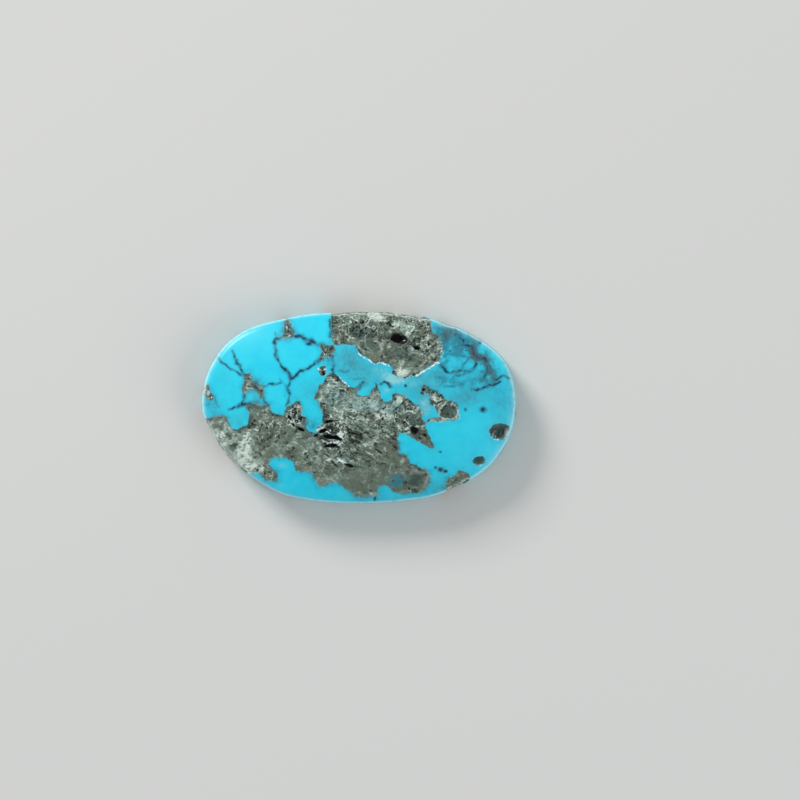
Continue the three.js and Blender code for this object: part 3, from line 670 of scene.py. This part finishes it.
class Wire:
    """One output of a node. Arithmetic on it adds Math nodes to its tree."""

    def __init__(self, tree, socket=None):
        self.tree = tree
        self.socket = socket

    def node(self, kind, settings=(), inputs=(), output=0):
        """Adds a node, sets it, then fills its sockets by name or number, and gives one of its outputs."""
        made = self.tree.nodes.new(kind)
        for name, value in dict(settings).items():
            setattr(made, name, value)
        for name, value in dict(inputs).items():
            if isinstance(name, int):
                socket = made.inputs[name]
            else:
                socket = next(each for each in made.inputs if each.enabled and each.name == name)
            if isinstance(value, Wire):
                self.tree.links.new(value.socket, socket)
            else:
                socket.default_value = value
        if isinstance(output, str):
            shown = [each for each in made.outputs if each.enabled and each.name == output]
        else:
            shown = [each for each in made.outputs if each.enabled][output:]
        return Wire(self.tree, shown[0] if shown else None)

    def math(self, operation, *values):
        return self.node("ShaderNodeMath", {"operation": operation}, dict(enumerate(values)))

    def __add__(self, other):
        return self.math("ADD", self, other)

    def __radd__(self, other):
        return self.math("ADD", other, self)

    def __sub__(self, other):
        return self.math("SUBTRACT", self, other)

    def __rsub__(self, other):
        return self.math("SUBTRACT", other, self)

    def __mul__(self, other):
        return self.math("MULTIPLY", self, other)

    def __rmul__(self, other):
        return self.math("MULTIPLY", other, self)

    def __truediv__(self, other):
        return self.math("DIVIDE", self, other)

    def __rtruediv__(self, other):
        return self.math("DIVIDE", other, self)

    def least(self, other):
        return self.math("MINIMUM", self, other)

    def most(self, other):
        return self.math("MAXIMUM", self, other)

    def line(self, start, slope):
        """The start plus this value times the slope."""
        return start + self * slope

    def smooth(self, low, high):
        """Rises smoothly from 0 to 1 as the value goes from low to high."""
        settings = {"interpolation_type": "SMOOTHSTEP"}
        return self.node("ShaderNodeMapRange", settings, {"Value": self, "From Min": low, "From Max": high})

    def band(self, low, peak, high):
        """Rises from 0 at low to 1 at peak, and falls to 0 at high."""
        return self.smooth(low, peak) * (1 - self.smooth(peak, high))

    def mark(self, name):
        """A value that is stored under this name at each vertex."""
        if self.tree.type == "GEOMETRY":
            settings = {"data_type": "FLOAT"}
            return self.node("GeometryNodeInputNamedAttribute", settings, {"Name": name}, "Attribute")
        return self.node("ShaderNodeAttribute", {"attribute_name": name}, output="Fac")

    def scaled(self, factor):
        """A vector made longer or shorter."""
        return self.node("ShaderNodeVectorMath", {"operation": "SCALE"}, {"Vector": self, "Scale": factor})

    def stretched(self, turn, sizes):
        """A vector turned about Z, in degrees, and divided by sizes, which stretches its pattern."""
        turned = self.node("ShaderNodeVectorRotate", {"rotation_type": "Z_AXIS"}, {
            "Vector": self, "Angle": math.radians(-turn),
        })
        return self.node("ShaderNodeVectorMath", {"operation": "DIVIDE"}, {0: turned, 1: sizes})

    def warped(self, scale, amount):
        """A vector pushed about by clouds, which bends a pattern that reads it."""
        push = self.node("ShaderNodeTexNoise", (), {"Vector": self, "Scale": scale}, "Color")
        settings = {"operation": "MULTIPLY_ADD"}
        return self.node("ShaderNodeVectorMath", settings, {0: push, 1: (amount, amount, amount), 2: self})

    def noise(self, scale, detail=3.0, roughness=0.55):
        """Cloudy values around 0.5, at a number of clouds for each millimetre."""
        return self.node("ShaderNodeTexNoise", (), {
            "Vector": self, "Scale": scale, "Detail": detail, "Roughness": roughness,
        })

    def ripple(self, *sizes):
        """Cloudy values around 0."""
        return self.noise(*sizes) - MIDDLE

    def cells(self, scale, feature="F1", output="Distance"):
        """Distances or tones of random cells, at a number of cells for each millimetre."""
        inputs = {"Vector": self, "Scale": scale}
        return self.node("ShaderNodeTexVoronoi", {"feature": feature}, inputs, output)

    def blend(self, first, second):
        """A colour mixed from first to second by this value."""
        return self.node("ShaderNodeMix", {"data_type": "RGBA", "clamp_factor": True}, {
            "Factor": self, "A": first, "B": second,
        }, "Result")


# The rock's relief, in millimetres
RELIEF = {
    "Ledge Depth": 0.24,
    "Ledge Run": 0.12,
    "Edge Wander": 0.3,
    "Mixing": 2.4,
    "Lump Size": 1.3,
    "Lump Height": 0.32,
    "Grain Size": 0.6,
    "Grain Height": 0.2,
    "Pore Size": 0.46,
    "Pore Depth": 0.3,
    "Grit Height": 0.08,
    "Crack Width": 0.12,
    "Crack Depth": 0.28,
    "Curl Size": 0.6,
    "Curl Height": 0.14,
    "Curl Depth": 0.2,
}
# Streaks in the rock: their turn in degrees, their stretch along each axis, and where they begin and are full
STREAK_TURN = -36
STREAK_SIZES = (1.7, 0.8, 1)
STREAKED = (0.2, 0.8)
# Curled seams: where a ridge and a groove start, peak and end in their clouds, and those clouds' warp
CURL_RIDGE = (0.44, 0.5, 0.56)
CURL_GROOVE = (0.36, 0.41, 0.46)
CURL_WARP = (2, 0.5)

# Clouds in the relief: number for each millimetre, detail and roughness
EDGE_CLOUDS = (1.3, 4, 0.55)
MIXED_CLOUDS = (1.9, 4, 0.6)
GRIT_CLOUDS = (4.2, 3, 0.6)
CRACK_CLOUDS = (0.9, 2)
PIT_CLOUDS = (2.5, 3)
# Detail and roughness of the clouds whose size is an input
LUMP_DETAIL = (3, 0.5)
PORE_DETAIL = (2, 0.5)
CURL_DETAIL = (1, 0.5)
# What another value adds to an amount: the amount without it, and the rise with it
EDGE_BY_ROUGHNESS = (0.1, 1.2)
LEDGE_RUN_BY_SOFTNESS = (1, 2.5)
LEDGE_DEPTH_BY_ROUGHNESS = (0.15, 0.85)
CRACKS_BY_STREAKS = (0.25, 0.75)
PIT_BY_CLOUDS = (0.75, 0.5)
# Where an amount begins and is full
HALF_SHOWN = (0.4, 0.6)
PORE_EDGE = (0.27, 0.38)
PORE_ROUGHNESS = (0.15, 0.5)
RELIEF_HEIGHT = (0.15, 0.7)
# The middle height of a grain, and how many cracks there are for each grain
GRAIN_MIDDLE = 0.42
CRACK_SHARE = 0.75


def relief_tree():
    """Geometry nodes that sink the rock below the polish and break it into lumps, grains and cracks."""
    tree = bpy.data.node_groups.new("host_rock_relief", "GeometryNodeTree")
    tree.interface.new_socket("Stone", in_out="INPUT", socket_type="NodeSocketGeometry")
    for name in RELIEF:
        tree.interface.new_socket(name, in_out="INPUT", socket_type="NodeSocketFloat")
    tree.interface.new_socket("Finish", in_out="INPUT", socket_type="NodeSocketMaterial")
    tree.interface.new_socket("Stone", in_out="OUTPUT", socket_type="NodeSocketGeometry")
    sheet = Wire(tree)
    group_input = tree.nodes.new("NodeGroupInput")
    size = {each.name: Wire(tree, each) for each in group_input.outputs if each.name}
    mark = sheet.mark
    place = sheet.node("GeometryNodeInputPosition").scaled(1 / MM)
    height = place.node("ShaderNodeSeparateXYZ", (), {"Vector": place}, "Z")
    rough = mark("rough")
    wander_size = size["Edge Wander"] * rough.line(*EDGE_BY_ROUGHNESS)
    reach = mark("rock") + place.ripple(*EDGE_CLOUDS) * wander_size
    reach = reach + place.ripple(*MIXED_CLOUDS) * mark("mixed") * size["Mixing"]
    ledge_run = size["Ledge Run"] * mark("soft").line(*LEDGE_RUN_BY_SOFTNESS)
    bare = (reach / ledge_run).smooth(0, 1)
    streaks = place.stretched(STREAK_TURN, STREAK_SIZES)
    streaked = mark("streaked").smooth(*STREAKED)
    lumps = place.ripple(1 / size["Lump Size"], *LUMP_DETAIL) * size["Lump Height"]
    round_grain = place.cells(1 / size["Grain Size"])
    long_grain = streaks.cells(1 / size["Grain Size"])
    grains = (GRAIN_MIDDLE - round_grain + (round_grain - long_grain) * streaked) * size["Grain Height"]
    grit = place.ripple(*GRIT_CLOUDS) * size["Grit Height"]
    round_pore = place.noise(1 / size["Pore Size"], *PORE_DETAIL)
    long_pore = streaks.noise(1 / size["Pore Size"], *PORE_DETAIL)
    pore_edge = round_pore + (long_pore - round_pore) * streaked
    pore = (1 - pore_edge.smooth(*PORE_EDGE)) * rough.smooth(*PORE_ROUGHNESS)
    gap = streaks.cells(CRACK_SHARE / size["Grain Size"], "DISTANCE_TO_EDGE")
    open_gap = place.noise(*CRACK_CLOUDS).smooth(*HALF_SHOWN) * streaked.line(*CRACKS_BY_STREAKS)
    cracks = (1 - (gap / size["Crack Width"]).smooth(0, 1)) * size["Crack Depth"] * open_gap
    curl = place.warped(*CURL_WARP).noise(1 / size["Curl Size"], *CURL_DETAIL)
    curls = curl.band(*CURL_RIDGE) * size["Curl Height"] - curl.band(*CURL_GROOVE) * size["Curl Depth"]
    ledge_depth = size["Ledge Depth"] * rough.line(*LEDGE_DEPTH_BY_ROUGHNESS)
    sunk = (lumps + grains + grit - cracks) * rough - ledge_depth
    sunk = (sunk + curls * mark("curly")).least(0) - pore * size["Pore Depth"]
    pits = mark("pit") * place.noise(*PIT_CLOUDS).line(*PIT_BY_CLOUDS)
    relief = bare * (sunk - pits) * height.smooth(*RELIEF_HEIGHT)
    offset = sheet.node("GeometryNodeInputNormal").scaled(relief * MM)
    stone = sheet.node("GeometryNodeSetPosition", (), {"Geometry": size["Stone"], "Offset": offset})
    round_tone = place.cells(1 / size["Grain Size"], output="Color")
    long_tone = streaks.cells(1 / size["Grain Size"], output="Color")
    kept = {
        "rock": reach,
        "hollow": relief * -1,
        "grain_tone": round_tone * (1 - streaked) + long_tone * streaked,
        "pore": pore,
        "pore_edge": pore_edge,
        "curl": curl,
    }
    for name, value in kept.items():
        stone = sheet.node("GeometryNodeStoreNamedAttribute", {"data_type": "FLOAT", "domain": "POINT"}, {
            "Geometry": stone, "Name": name, "Value": value,
        })
    stone = sheet.node("GeometryNodeRealizeInstances", (), {"Geometry": stone})
    stone = sheet.node("GeometryNodeSetMaterial", (), {"Geometry": stone, "Material": size["Finish"]})
    sheet.node("NodeGroupOutput", (), {"Stone": stone})
    return tree


def pushed(patterns, weights):
    """A level, and on top of it each pattern times its weight."""
    parts = [patterns[name] * weight for name, weight in weights.items() if name != "level"]
    return sum(parts, weights["level"])


# Clouds in the blue: number for each millimetre, detail and roughness
MOTTLE = (1.3, 4, 0.6)
BLUE_PATTERNS = {"cloud": (0.35, 3), "mottle": MOTTLE, "curdle": (2.6, 5, 0.65)}
SMOKE = (1.1, 2, 0.5)
SMOKE_WARP = (0.8, 0.8)
BROWN_CLOUDS = (0.9, 2)
VEIN_CLOUDS = (1.6, 2)
CORE_CLOUDS = (3, 4, 0.65)
# How far each pattern pushes a tint of the blue, and the level that it is pushed from
DEEP_BY = {"cloud": 0.6, "mottle": 0.4, "level": 0}
MUTED_BY = {"mottle": 0.7, "curdle": 0.7, "level": 0}
DULL_BY = {"smoke": 3.2, "curdle": 2, "level": -1.55}
CHALK_BY = {"curdle": 3, "level": -0.7}
GROUND_BY = {"mottle": 1.6, "level": -0.35}
STAIN_BY = {"mottle": 1.8, "level": -0.4}
SMUDGE_BY = {"mottle": 1, "smoke": 1, "curdle": 1, "level": -0.5}
# Uneven dullness all over: its clouds, and its mottle, which is stronger on the wall
PATCHY_CLOUD = 0.3
PATCHY_MOTTLE_BY_SIDE = (0.2, 0.7)
# The stain beside the rock: how far it reaches, and how it deepens where the rock's edge is soft
STAIN_REACH = (-0.7, 0.05)
STAIN_BY_SOFTNESS = (0.25, 0.75)
# Where each tint begins and is full, and how much of it shows at most
DEEP_SHOWN = (0.35, 0.65)
DULL_SHOWN = (0.05, 1.25)
CHALK_SHOWN = (0.1, 0.9)
SMUDGE_SHOWN = (0.1, 1.2)
SMUDGE_MOST = 0.85
# Dark dots: warp, number for each millimetre, which of them show, their edge, and how dark they are at least
DOT_WARP = (2.5, 0.2)
DOTS = 1.6
DOTS_SHOWN = (0.45, 0.6)
DOT_EDGE = (0.06, 0.22)
DOTS_ANYWHERE = 0.08
# Veins: how their clouds break them up, their brown and dull borders, and their dark cores
VEIN_BY_CLOUDS = (-0.3, 2.6)
BROWN_SHOWN = (0.48, 0.65)
BROWN_BORDER = (0.05, 0.5)
BROWN_MOST = 0.6
DULL_BORDER = (0.01, 0.5)
DULL_BORDER_MOST = 0.7
CORE_UNEVENNESS = 0.8
CORE_SHOWN = (0.46, 1.08)
# The web of veins on the wall: cells for each millimetre, warp, clouds that break it up, and its edge
WEB = 0.2
WEB_WARP = (0.5, 2.2)
WEB_CLOUDS = (0.4, 2)
WEB_EDGE = (0, 0.05)


def blue_colour(place, rock):
    """The blue mineral: cloudy, dull and chalky in patches, stained near the rock, crossed by dark veins."""
    mark = place.mark
    patterns = {name: place.noise(*sizes) for name, sizes in BLUE_PATTERNS.items()}
    patterns["smoke"] = place.warped(*SMOKE_WARP).noise(*SMOKE)
    dull = mark("dull")
    side = mark("side")
    patchy = (patterns["cloud"] - MIDDLE) * PATCHY_CLOUD
    patchy = patchy + (patterns["mottle"] - MIDDLE) * side.line(*PATCHY_MOTTLE_BY_SIDE)
    blue = pushed(patterns, DEEP_BY).smooth(*DEEP_SHOWN).blend(BRIGHT_BLUE, DEEP_BLUE)
    blue = (mark("muted") * pushed(patterns, MUTED_BY)).blend(blue, MUTED_BLUE)
    blue = (dull * pushed(patterns, DULL_BY) + patchy).smooth(*DULL_SHOWN).blend(blue, DULL_BLUE)
    blue = (mark("chalk") * pushed(patterns, CHALK_BY)).smooth(*CHALK_SHOWN).blend(blue, CHALK_BLUE)
    blue = (side * pushed(patterns, GROUND_BY)).blend(blue, GROUND_BLUE)
    stain = rock.smooth(*STAIN_REACH) * pushed(patterns, STAIN_BY) * mark("soft").line(*STAIN_BY_SOFTNESS)
    blue = stain.blend(blue, DULL_BLUE)
    dots = place.warped(*DOT_WARP)
    dotted = dots.cells(DOTS, output="Color").smooth(*DOTS_SHOWN) * (dull + DOTS_ANYWHERE)
    blue = ((1 - dots.cells(DOTS).smooth(*DOT_EDGE)) * dotted).blend(blue, VEIN_TEAL)
    vein = mark("vein") * place.noise(*VEIN_CLOUDS).line(*VEIN_BY_CLOUDS)
    web = place.warped(*WEB_WARP).cells(WEB, "DISTANCE_TO_EDGE")
    web_shown = side * place.noise(*WEB_CLOUDS).smooth(*HALF_SHOWN)
    vein = vein.most((1 - web.smooth(*WEB_EDGE)) * web_shown)
    browned = place.noise(*BROWN_CLOUDS).smooth(*BROWN_SHOWN) * BROWN_MOST
    blue = (vein.smooth(*BROWN_BORDER) * browned).blend(blue, SMUDGE_BROWN)
    blue = (vein.smooth(*DULL_BORDER) * DULL_BORDER_MOST).blend(blue, DULL_BLUE)
    smudged = (mark("smudge") * pushed(patterns, SMUDGE_BY)).smooth(*SMUDGE_SHOWN)
    blue = (smudged * SMUDGE_MOST).blend(blue, SMUDGE_BROWN)
    core = (vein + place.ripple(*CORE_CLOUDS) * CORE_UNEVENNESS).smooth(*CORE_SHOWN)
    return core.blend(blue, VEIN_TEAL)


# Clouds in the rock: number for each millimetre, detail and roughness
ROCK_CLOUDS = (0.8, 2, 0.5)
BLOTCHES = (2.2, 3, 0.5)
FLECKS = (6.5, 2, 0.5)
STROKES = (2.6, 2, 0.5)
CLAST_CLOUDS = (1.6, 2)
CURL_CLOUDS = (1.5, 2)
PALE_CLOUDS = (0.9, 2)
OLIVE_CLOUDS = (0.5, 3)
PEBBLE_CLOUDS = (2, 3, 0.5)
# Clasts: number for each millimetre, warp, where their pale rims show, and the rims' width
CLASTS = 0.9
CLAST_WARP = (1.3, 0.7)
CLAST_RIMS_SHOWN = (0.45, 0.6)
CLAST_RIM = (0.02, 0.1)
# Light and dark strokes: where each begins and is full, and how much it changes the tone
LIGHT_STROKE = (0.54, 0.68)
LIGHT_STROKE_TONE = 0.38
DARK_STROKE = (0.3, 0.44)
DARK_STROKE_TONE = 0.32
# Where the painted highlight around a pore starts, peaks and ends
PORE_RIM_HIGHLIGHT = (0.34, 0.39, 0.46)
# How much roughness adds to the curled seams, and how much they change the tone: partly the rock's own pale
# veinlets, partly painted highlight on their ridges and painted shade in their grooves
CURLS_BY_ROUGHNESS = 0.3
CURL_HIGHLIGHT_AND_SHADE_TONE = 0.8
# The rock's tone: how far each pattern pushes it, what roughness, pale clouds and dark patches do to it,
# and its middle
SPECKLE_BY = {
    "cloud": 0.55, "blotch": 0.8, "clast": 0.4, "grain": 0.25, "fleck": 0.3, "stroke": 1, "clast_rim": 0.3,
    "pore_rim_highlight": 0.2, "curl": 1, "level": 0,
}
SPECKLE_BY_ROUGHNESS = (0.45, 0.8)
PALE_BY_CLOUDS = (-1.65, 4.2)
DARK_TONE = 0.3
ROCK_TONE = 0.4
# Tones at which one colour of the rock begins to turn into the next, and has turned
SHADOW_TO_OLIVE = (0, 0.42)
OLIVE_TO_LIGHT = (0.42, 0.78)
LIGHT_TO_WHITE = (0.76, 1.05)
# Where olive turns into brown, in clouds of its own
OLIVE_TO_BROWN = (0.4, 0.62)
# Tints of the rock: how blotches break them up, where each begins and is full, and how much shows at most
TEAL_BY_BLOTCHES = (0.6, 1.5)
TINT_BY_BLOTCHES = (0.6, 2)
TEAL_SHOWN = (0.1, 0.7)
TEAL_MOST = 0.75
TAN_SHOWN = (0.1, 1.2)
SLATE_SHOWN = (0.35, 1.1)
STAINED_SHOWN = (0.1, 0.8)
STAINED_EDGE = (0.02, 0.4)
STAINED_EDGE_MOST = 0.35
# Pebbles: their uneven edge, their body and their pale rim
PEBBLE_UNEVENNESS = 0.4
PEBBLE_EDGE = (-0.02, 0.08)
PEBBLE_MOST = 0.85
PEBBLE_RIM = (-0.2, -0.06, 0.04)
PEBBLE_RIM_MOST = 0.8
# Painted shade in hollows, pores and pits
HOLLOW_SHOWN = (0.4, 0.8)
HOLLOW_SHADE = 0.4
PORE_SHOWN = (0.3, 1)
PORE_SHADE = 0.65
PIT_SHOWN = (0.1, 0.35)


def rock_colour(place, rock):
    """The host rock: soft olive clouds and clasts, short strokes, curled seams with painted highlight on
    their ridges and painted shade in their grooves, pores and stained edges, and painted shade in hollows,
    pores and pits.
    """
    mark = place.mark
    rough = mark("rough")
    streaked = mark("streaked").smooth(*STREAKED)
    blotch = place.ripple(*BLOTCHES)
    stroke = place.stretched(STREAK_TURN, STREAK_SIZES).noise(*STROKES)
    light = stroke.smooth(*LIGHT_STROKE) * LIGHT_STROKE_TONE
    dark = (1 - stroke.smooth(*DARK_STROKE)) * DARK_STROKE_TONE
    clasts = place.warped(*CLAST_WARP)
    rims_shown = place.noise(*CLAST_CLOUDS).smooth(*CLAST_RIMS_SHOWN) * (1 - streaked)
    curl = mark("curl")
    broken = place.noise(*CURL_CLOUDS).smooth(*HALF_SHOWN)
    curly = (mark("curly") + rough * CURLS_BY_ROUGHNESS) * broken * CURL_HIGHLIGHT_AND_SHADE_TONE
    patterns = {
        "cloud": place.ripple(*ROCK_CLOUDS),
        "blotch": blotch,
        "clast": clasts.cells(CLASTS, output="Color") - MIDDLE,
        "grain": mark("grain_tone") - MIDDLE,
        "fleck": place.ripple(*FLECKS),
        "stroke": (light - dark) * streaked,
        "clast_rim": (1 - clasts.cells(CLASTS, "DISTANCE_TO_EDGE").smooth(*CLAST_RIM)) * rims_shown,
        # A painted highlight: a pale ring around each pore
        "pore_rim_highlight": mark("pore_edge").band(*PORE_RIM_HIGHLIGHT),
        # Curled seams: partly the rock's own veinlets, partly painted highlight on the ridges and painted
        # shade in the grooves
        "curl": (curl.band(*CURL_RIDGE) - curl.band(*CURL_GROOVE)) * curly,
    }
    speckle = pushed(patterns, SPECKLE_BY) * rough.line(*SPECKLE_BY_ROUGHNESS)
    pale = mark("pale") * (place.noise(*PALE_CLOUDS).line(*PALE_BY_CLOUDS) + blotch)
    tone = speckle + pale - mark("dark") * DARK_TONE + ROCK_TONE
    olive = place.noise(*OLIVE_CLOUDS).smooth(*OLIVE_TO_BROWN).blend(ROCK_OLIVE, ROCK_BROWN)
    grey = tone.smooth(*SHADOW_TO_OLIVE).blend(ROCK_SHADOW, olive)
    grey = tone.smooth(*OLIVE_TO_LIGHT).blend(grey, ROCK_LIGHT)
    grey = tone.smooth(*LIGHT_TO_WHITE).blend(grey, ROCK_WHITE)
    teal = (mark("teal") * blotch.line(*TEAL_BY_BLOTCHES)).smooth(*TEAL_SHOWN) * TEAL_MOST
    grey = teal.blend(grey, ROCK_TEAL)
    grey = (mark("tan") * blotch.line(*TINT_BY_BLOTCHES)).smooth(*TAN_SHOWN).blend(grey, ROCK_TAN)
    pebble = mark("pebble") + place.ripple(*PEBBLE_CLOUDS) * PEBBLE_UNEVENNESS
    pebble_tone = mark("pebble_tone")
    grey = (pebble.smooth(*PEBBLE_EDGE) * pebble_tone * PEBBLE_MOST).blend(grey, PEBBLE_GREEN)
    grey = (pebble.band(*PEBBLE_RIM) * pebble_tone * broken * PEBBLE_RIM_MOST).blend(grey, ROCK_WHITE)
    grey = mark("dark").smooth(*SLATE_SHOWN).blend(grey, ROCK_SLATE)
    grey = (mark("stained") * blotch.line(*TINT_BY_BLOTCHES)).smooth(*STAINED_SHOWN).blend(grey, STAIN_BLUE)
    grey = ((1 - rock.smooth(*STAINED_EDGE)) * STAINED_EDGE_MOST).blend(grey, STAINED_ROCK)
    # Painted shade: darker with the depth of hollows and pores, and black in pits
    shade = mark("hollow").smooth(*HOLLOW_SHOWN) * HOLLOW_SHADE
    shade = shade + mark("pore").smooth(*PORE_SHOWN) * PORE_SHADE
    grey = shade.blend(grey, ROCK_SHADOW)
    return mark("pit").smooth(*PIT_SHOWN).blend(grey, PIT_BLACK)


# The seam between blue and rock: clouds, how softness blurs its line and widens it, and where the rock shows
SEAM_CLOUDS = (3, 4, 0.65)
SEAM_LINE_BY_SOFTNESS = (0.35, 0.6)
SEAM_WIDTH_BY_SOFTNESS = (0.05, 0.2)
ROCK_SHOWN = (-1, 0.8)
# White crusts mixed with painted highlights of glints and lit ledge lips, and how near the rock they lie
CRUST_AND_GLINT_CLOUDS = (4.5, 4, 0.7)
CRUST_AND_GLINT_UNEVENNESS = 2.6
CRUST_AND_GLINT_SHOWN = (0.5, 1)
CRUST_AND_GLINT_REACH = (-0.3, -0.1)
# The painted highlight line around the rim
RIM_HIGHLIGHT_CLOUDS = (2, 4, 0.6)
RIM_HIGHLIGHT_SHOWN = (0.2, 0.55)
RIM_HIGHLIGHT_MOST = 0.9
# Gloss of the polished blue, and what the rock, uneven polish and the ground wall add to its roughness
POLISH_ROUGHNESS = 0.28
ROCK_ROUGHNESS = 0.5
UNEVEN_ROUGHNESS = 0.12
WALL_ROUGHNESS = 0.12
TURQUOISE_IOR = 1.61
TURQUOISE_SPECULAR = 0.26
# Grit on the rock, too fine for the mesh: clouds, strength, and height in millimetres
FINE_GRIT = (11, 3, 0.6)
FINE_GRIT_STRENGTH = 0.4
FINE_GRIT_HEIGHT = 0.05


def stone_finish():
    """Polished blue with dark veins, and rough grey rock where the stone is bare."""
    material = bpy.data.materials.new("turquoise_and_host_rock")
    material.use_nodes = True
    tree = material.node_tree
    tree.nodes.clear()
    sheet = Wire(tree)
    place = sheet.node("ShaderNodeTexCoord", output="Object").scaled(1 / MM)
    soft = place.mark("soft")
    rock = place.mark("rock") + place.ripple(*SEAM_CLOUDS) * soft.line(*SEAM_LINE_BY_SOFTNESS)
    bare = (rock / soft.line(*SEAM_WIDTH_BY_SOFTNESS)).smooth(*ROCK_SHOWN)
    # White crust mixed with painted highlights: glints on crystal faces and the lit lips of ledges
    crust_and_glint = (place.mark("crust_and_glint") + place.ripple(*CRUST_AND_GLINT_CLOUDS) * CRUST_AND_GLINT_UNEVENNESS).smooth(*CRUST_AND_GLINT_SHOWN)
    crust_and_glint = crust_and_glint * rock.smooth(*CRUST_AND_GLINT_REACH)
    # A painted highlight: a pale, broken line around the top of the wall
    rim_highlight = place.mark("rim") * place.noise(*RIM_HIGHLIGHT_CLOUDS).smooth(*RIM_HIGHLIGHT_SHOWN) * RIM_HIGHLIGHT_MOST
    colour = bare.blend(blue_colour(place, rock), rock_colour(place, rock))
    colour = rim_highlight.blend(colour, bare.blend(RIM_HIGHLIGHT_BLUE, RIM_HIGHLIGHT_ROCK))
    roughness = POLISH_ROUGHNESS + bare * ROCK_ROUGHNESS + place.ripple(*MOTTLE) * UNEVEN_ROUGHNESS
    bump = sheet.node("ShaderNodeBump", (), {
        "Height": bare * place.noise(*FINE_GRIT),
        "Strength": FINE_GRIT_STRENGTH,
        "Distance": FINE_GRIT_HEIGHT * MM,
    })
    shader = sheet.node("ShaderNodeBsdfPrincipled", (), {
        "Base Color": crust_and_glint.blend(colour, CRUST_AND_GLINT_WHITE),
        "Roughness": roughness + place.mark("side") * WALL_ROUGHNESS,
        "IOR": TURQUOISE_IOR,
        "Specular IOR Level": TURQUOISE_SPECULAR,
        "Normal": bump,
    })
    sheet.node("ShaderNodeOutputMaterial", (), {"Surface": shader})
    return material


def turquoise_nugget():
    """The stone as one closed mesh, with its relief applied."""
    vertices, triangles = ground_skin()
    coarse = marks(vertices)
    on_show = vertices[:, 2] > 0
    wanted = on_show & ((coarse["rock"] > -REFINE_MARGIN) | (coarse["vein"] > VEIN_EDGE))
    vertices, triangles = refine(vertices, triangles, wanted)
    mesh = bpy.data.meshes.new("ground_skin")
    mesh.from_pydata((vertices * MM).tolist(), [], triangles.tolist())
    for name, values in marks(vertices).items():
        mesh.attributes.new(name, "FLOAT", "POINT").data.foreach_set("value", values.astype(np.float32))
    mesh.shade_smooth()
    skin = bpy.data.objects.new("ground_skin", mesh)
    bpy.context.scene.collection.objects.link(skin)

    tree = relief_tree()
    relief = skin.modifiers.new("host_rock_relief", "NODES")
    relief.node_group = tree
    values = {**RELIEF, "Finish": stone_finish()}
    for item in tree.interface.items_tree:
        if item.in_out == "INPUT" and item.name in values:
            relief[item.identifier] = values[item.name]
    evaluated = skin.evaluated_get(bpy.context.evaluated_depsgraph_get())
    stone_mesh = bpy.data.meshes.new_from_object(evaluated)
    bpy.data.objects.remove(skin)
    stone_mesh.name = "turquoise_nugget_surface"
    stone = bpy.data.objects.new("turquoise_nugget_surface", stone_mesh)
    bpy.context.scene.collection.objects.link(stone)
    return stone


def pale_floor():
    """A plain pale sheet under the stone."""
    mesh = bpy.data.meshes.new("pale_floor")
    corners = [(-1, -1), (1, -1), (1, 1), (-1, 1)]
    mesh.from_pydata([(x * FLOOR_HALF, y * FLOOR_HALF, 0) for x, y in corners], [], [(0, 1, 2, 3)])
    floor = bpy.data.objects.new("pale_floor", mesh)
    bpy.context.scene.collection.objects.link(floor)
    material = bpy.data.materials.new("pale_floor_paper")
    material.use_nodes = True
    shader = material.node_tree.nodes["Principled BSDF"]
    shader.inputs["Base Color"].default_value = FLOOR_PALE
    shader.inputs["Roughness"].default_value = FLOOR_ROUGHNESS
    mesh.materials.append(material)
    return floor


def soft_light(name, place, side, power):
    """A square studio light that faces the stone."""
    lamp = bpy.data.lights.new(name, "AREA")
    lamp.shape = "SQUARE"
    lamp.size = side
    lamp.energy = power
    light = bpy.data.objects.new(name, lamp)
    light.location = place
    light.rotation_euler = (-Vector(place)).to_track_quat("-Z", "Y").to_euler()
    bpy.context.scene.collection.objects.link(light)


def studio():
    """Soft light from the upper left, a weak fill, and a pale surround."""
    soft_light("key_light", *KEY_LIGHT)
    soft_light("fill_light", *FILL_LIGHT)
    world = bpy.data.worlds.new("pale_surround")
    world.use_nodes = True
    sky = world.node_tree.nodes["Background"]
    sky.inputs["Color"].default_value = SURROUND_TINT
    sky.inputs["Strength"].default_value = SURROUND_STRENGTH
    bpy.context.scene.world = world
    bpy.context.scene.view_settings.view_transform = "Standard"


def camera():
    """Straight above, framed as the photograph is."""
    lens = bpy.data.cameras.new("camera")
    lens.lens = LENS
    lens.sensor_width = SENSOR
    eye = bpy.data.objects.new("camera", lens)
    above = VIEW_WIDTH * LENS / SENSOR + GIRDLE_HEIGHT
    eye.location = Vector((*VIEW_MIDDLE, above)) * MM
    lens.clip_start = MM
    bpy.context.scene.collection.objects.link(eye)
    bpy.context.scene.camera = eye


camera()
studio()
pale_floor()
nugget = turquoise_nugget()
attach(nugget, STONE_BODY)
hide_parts(STONE_NODE)
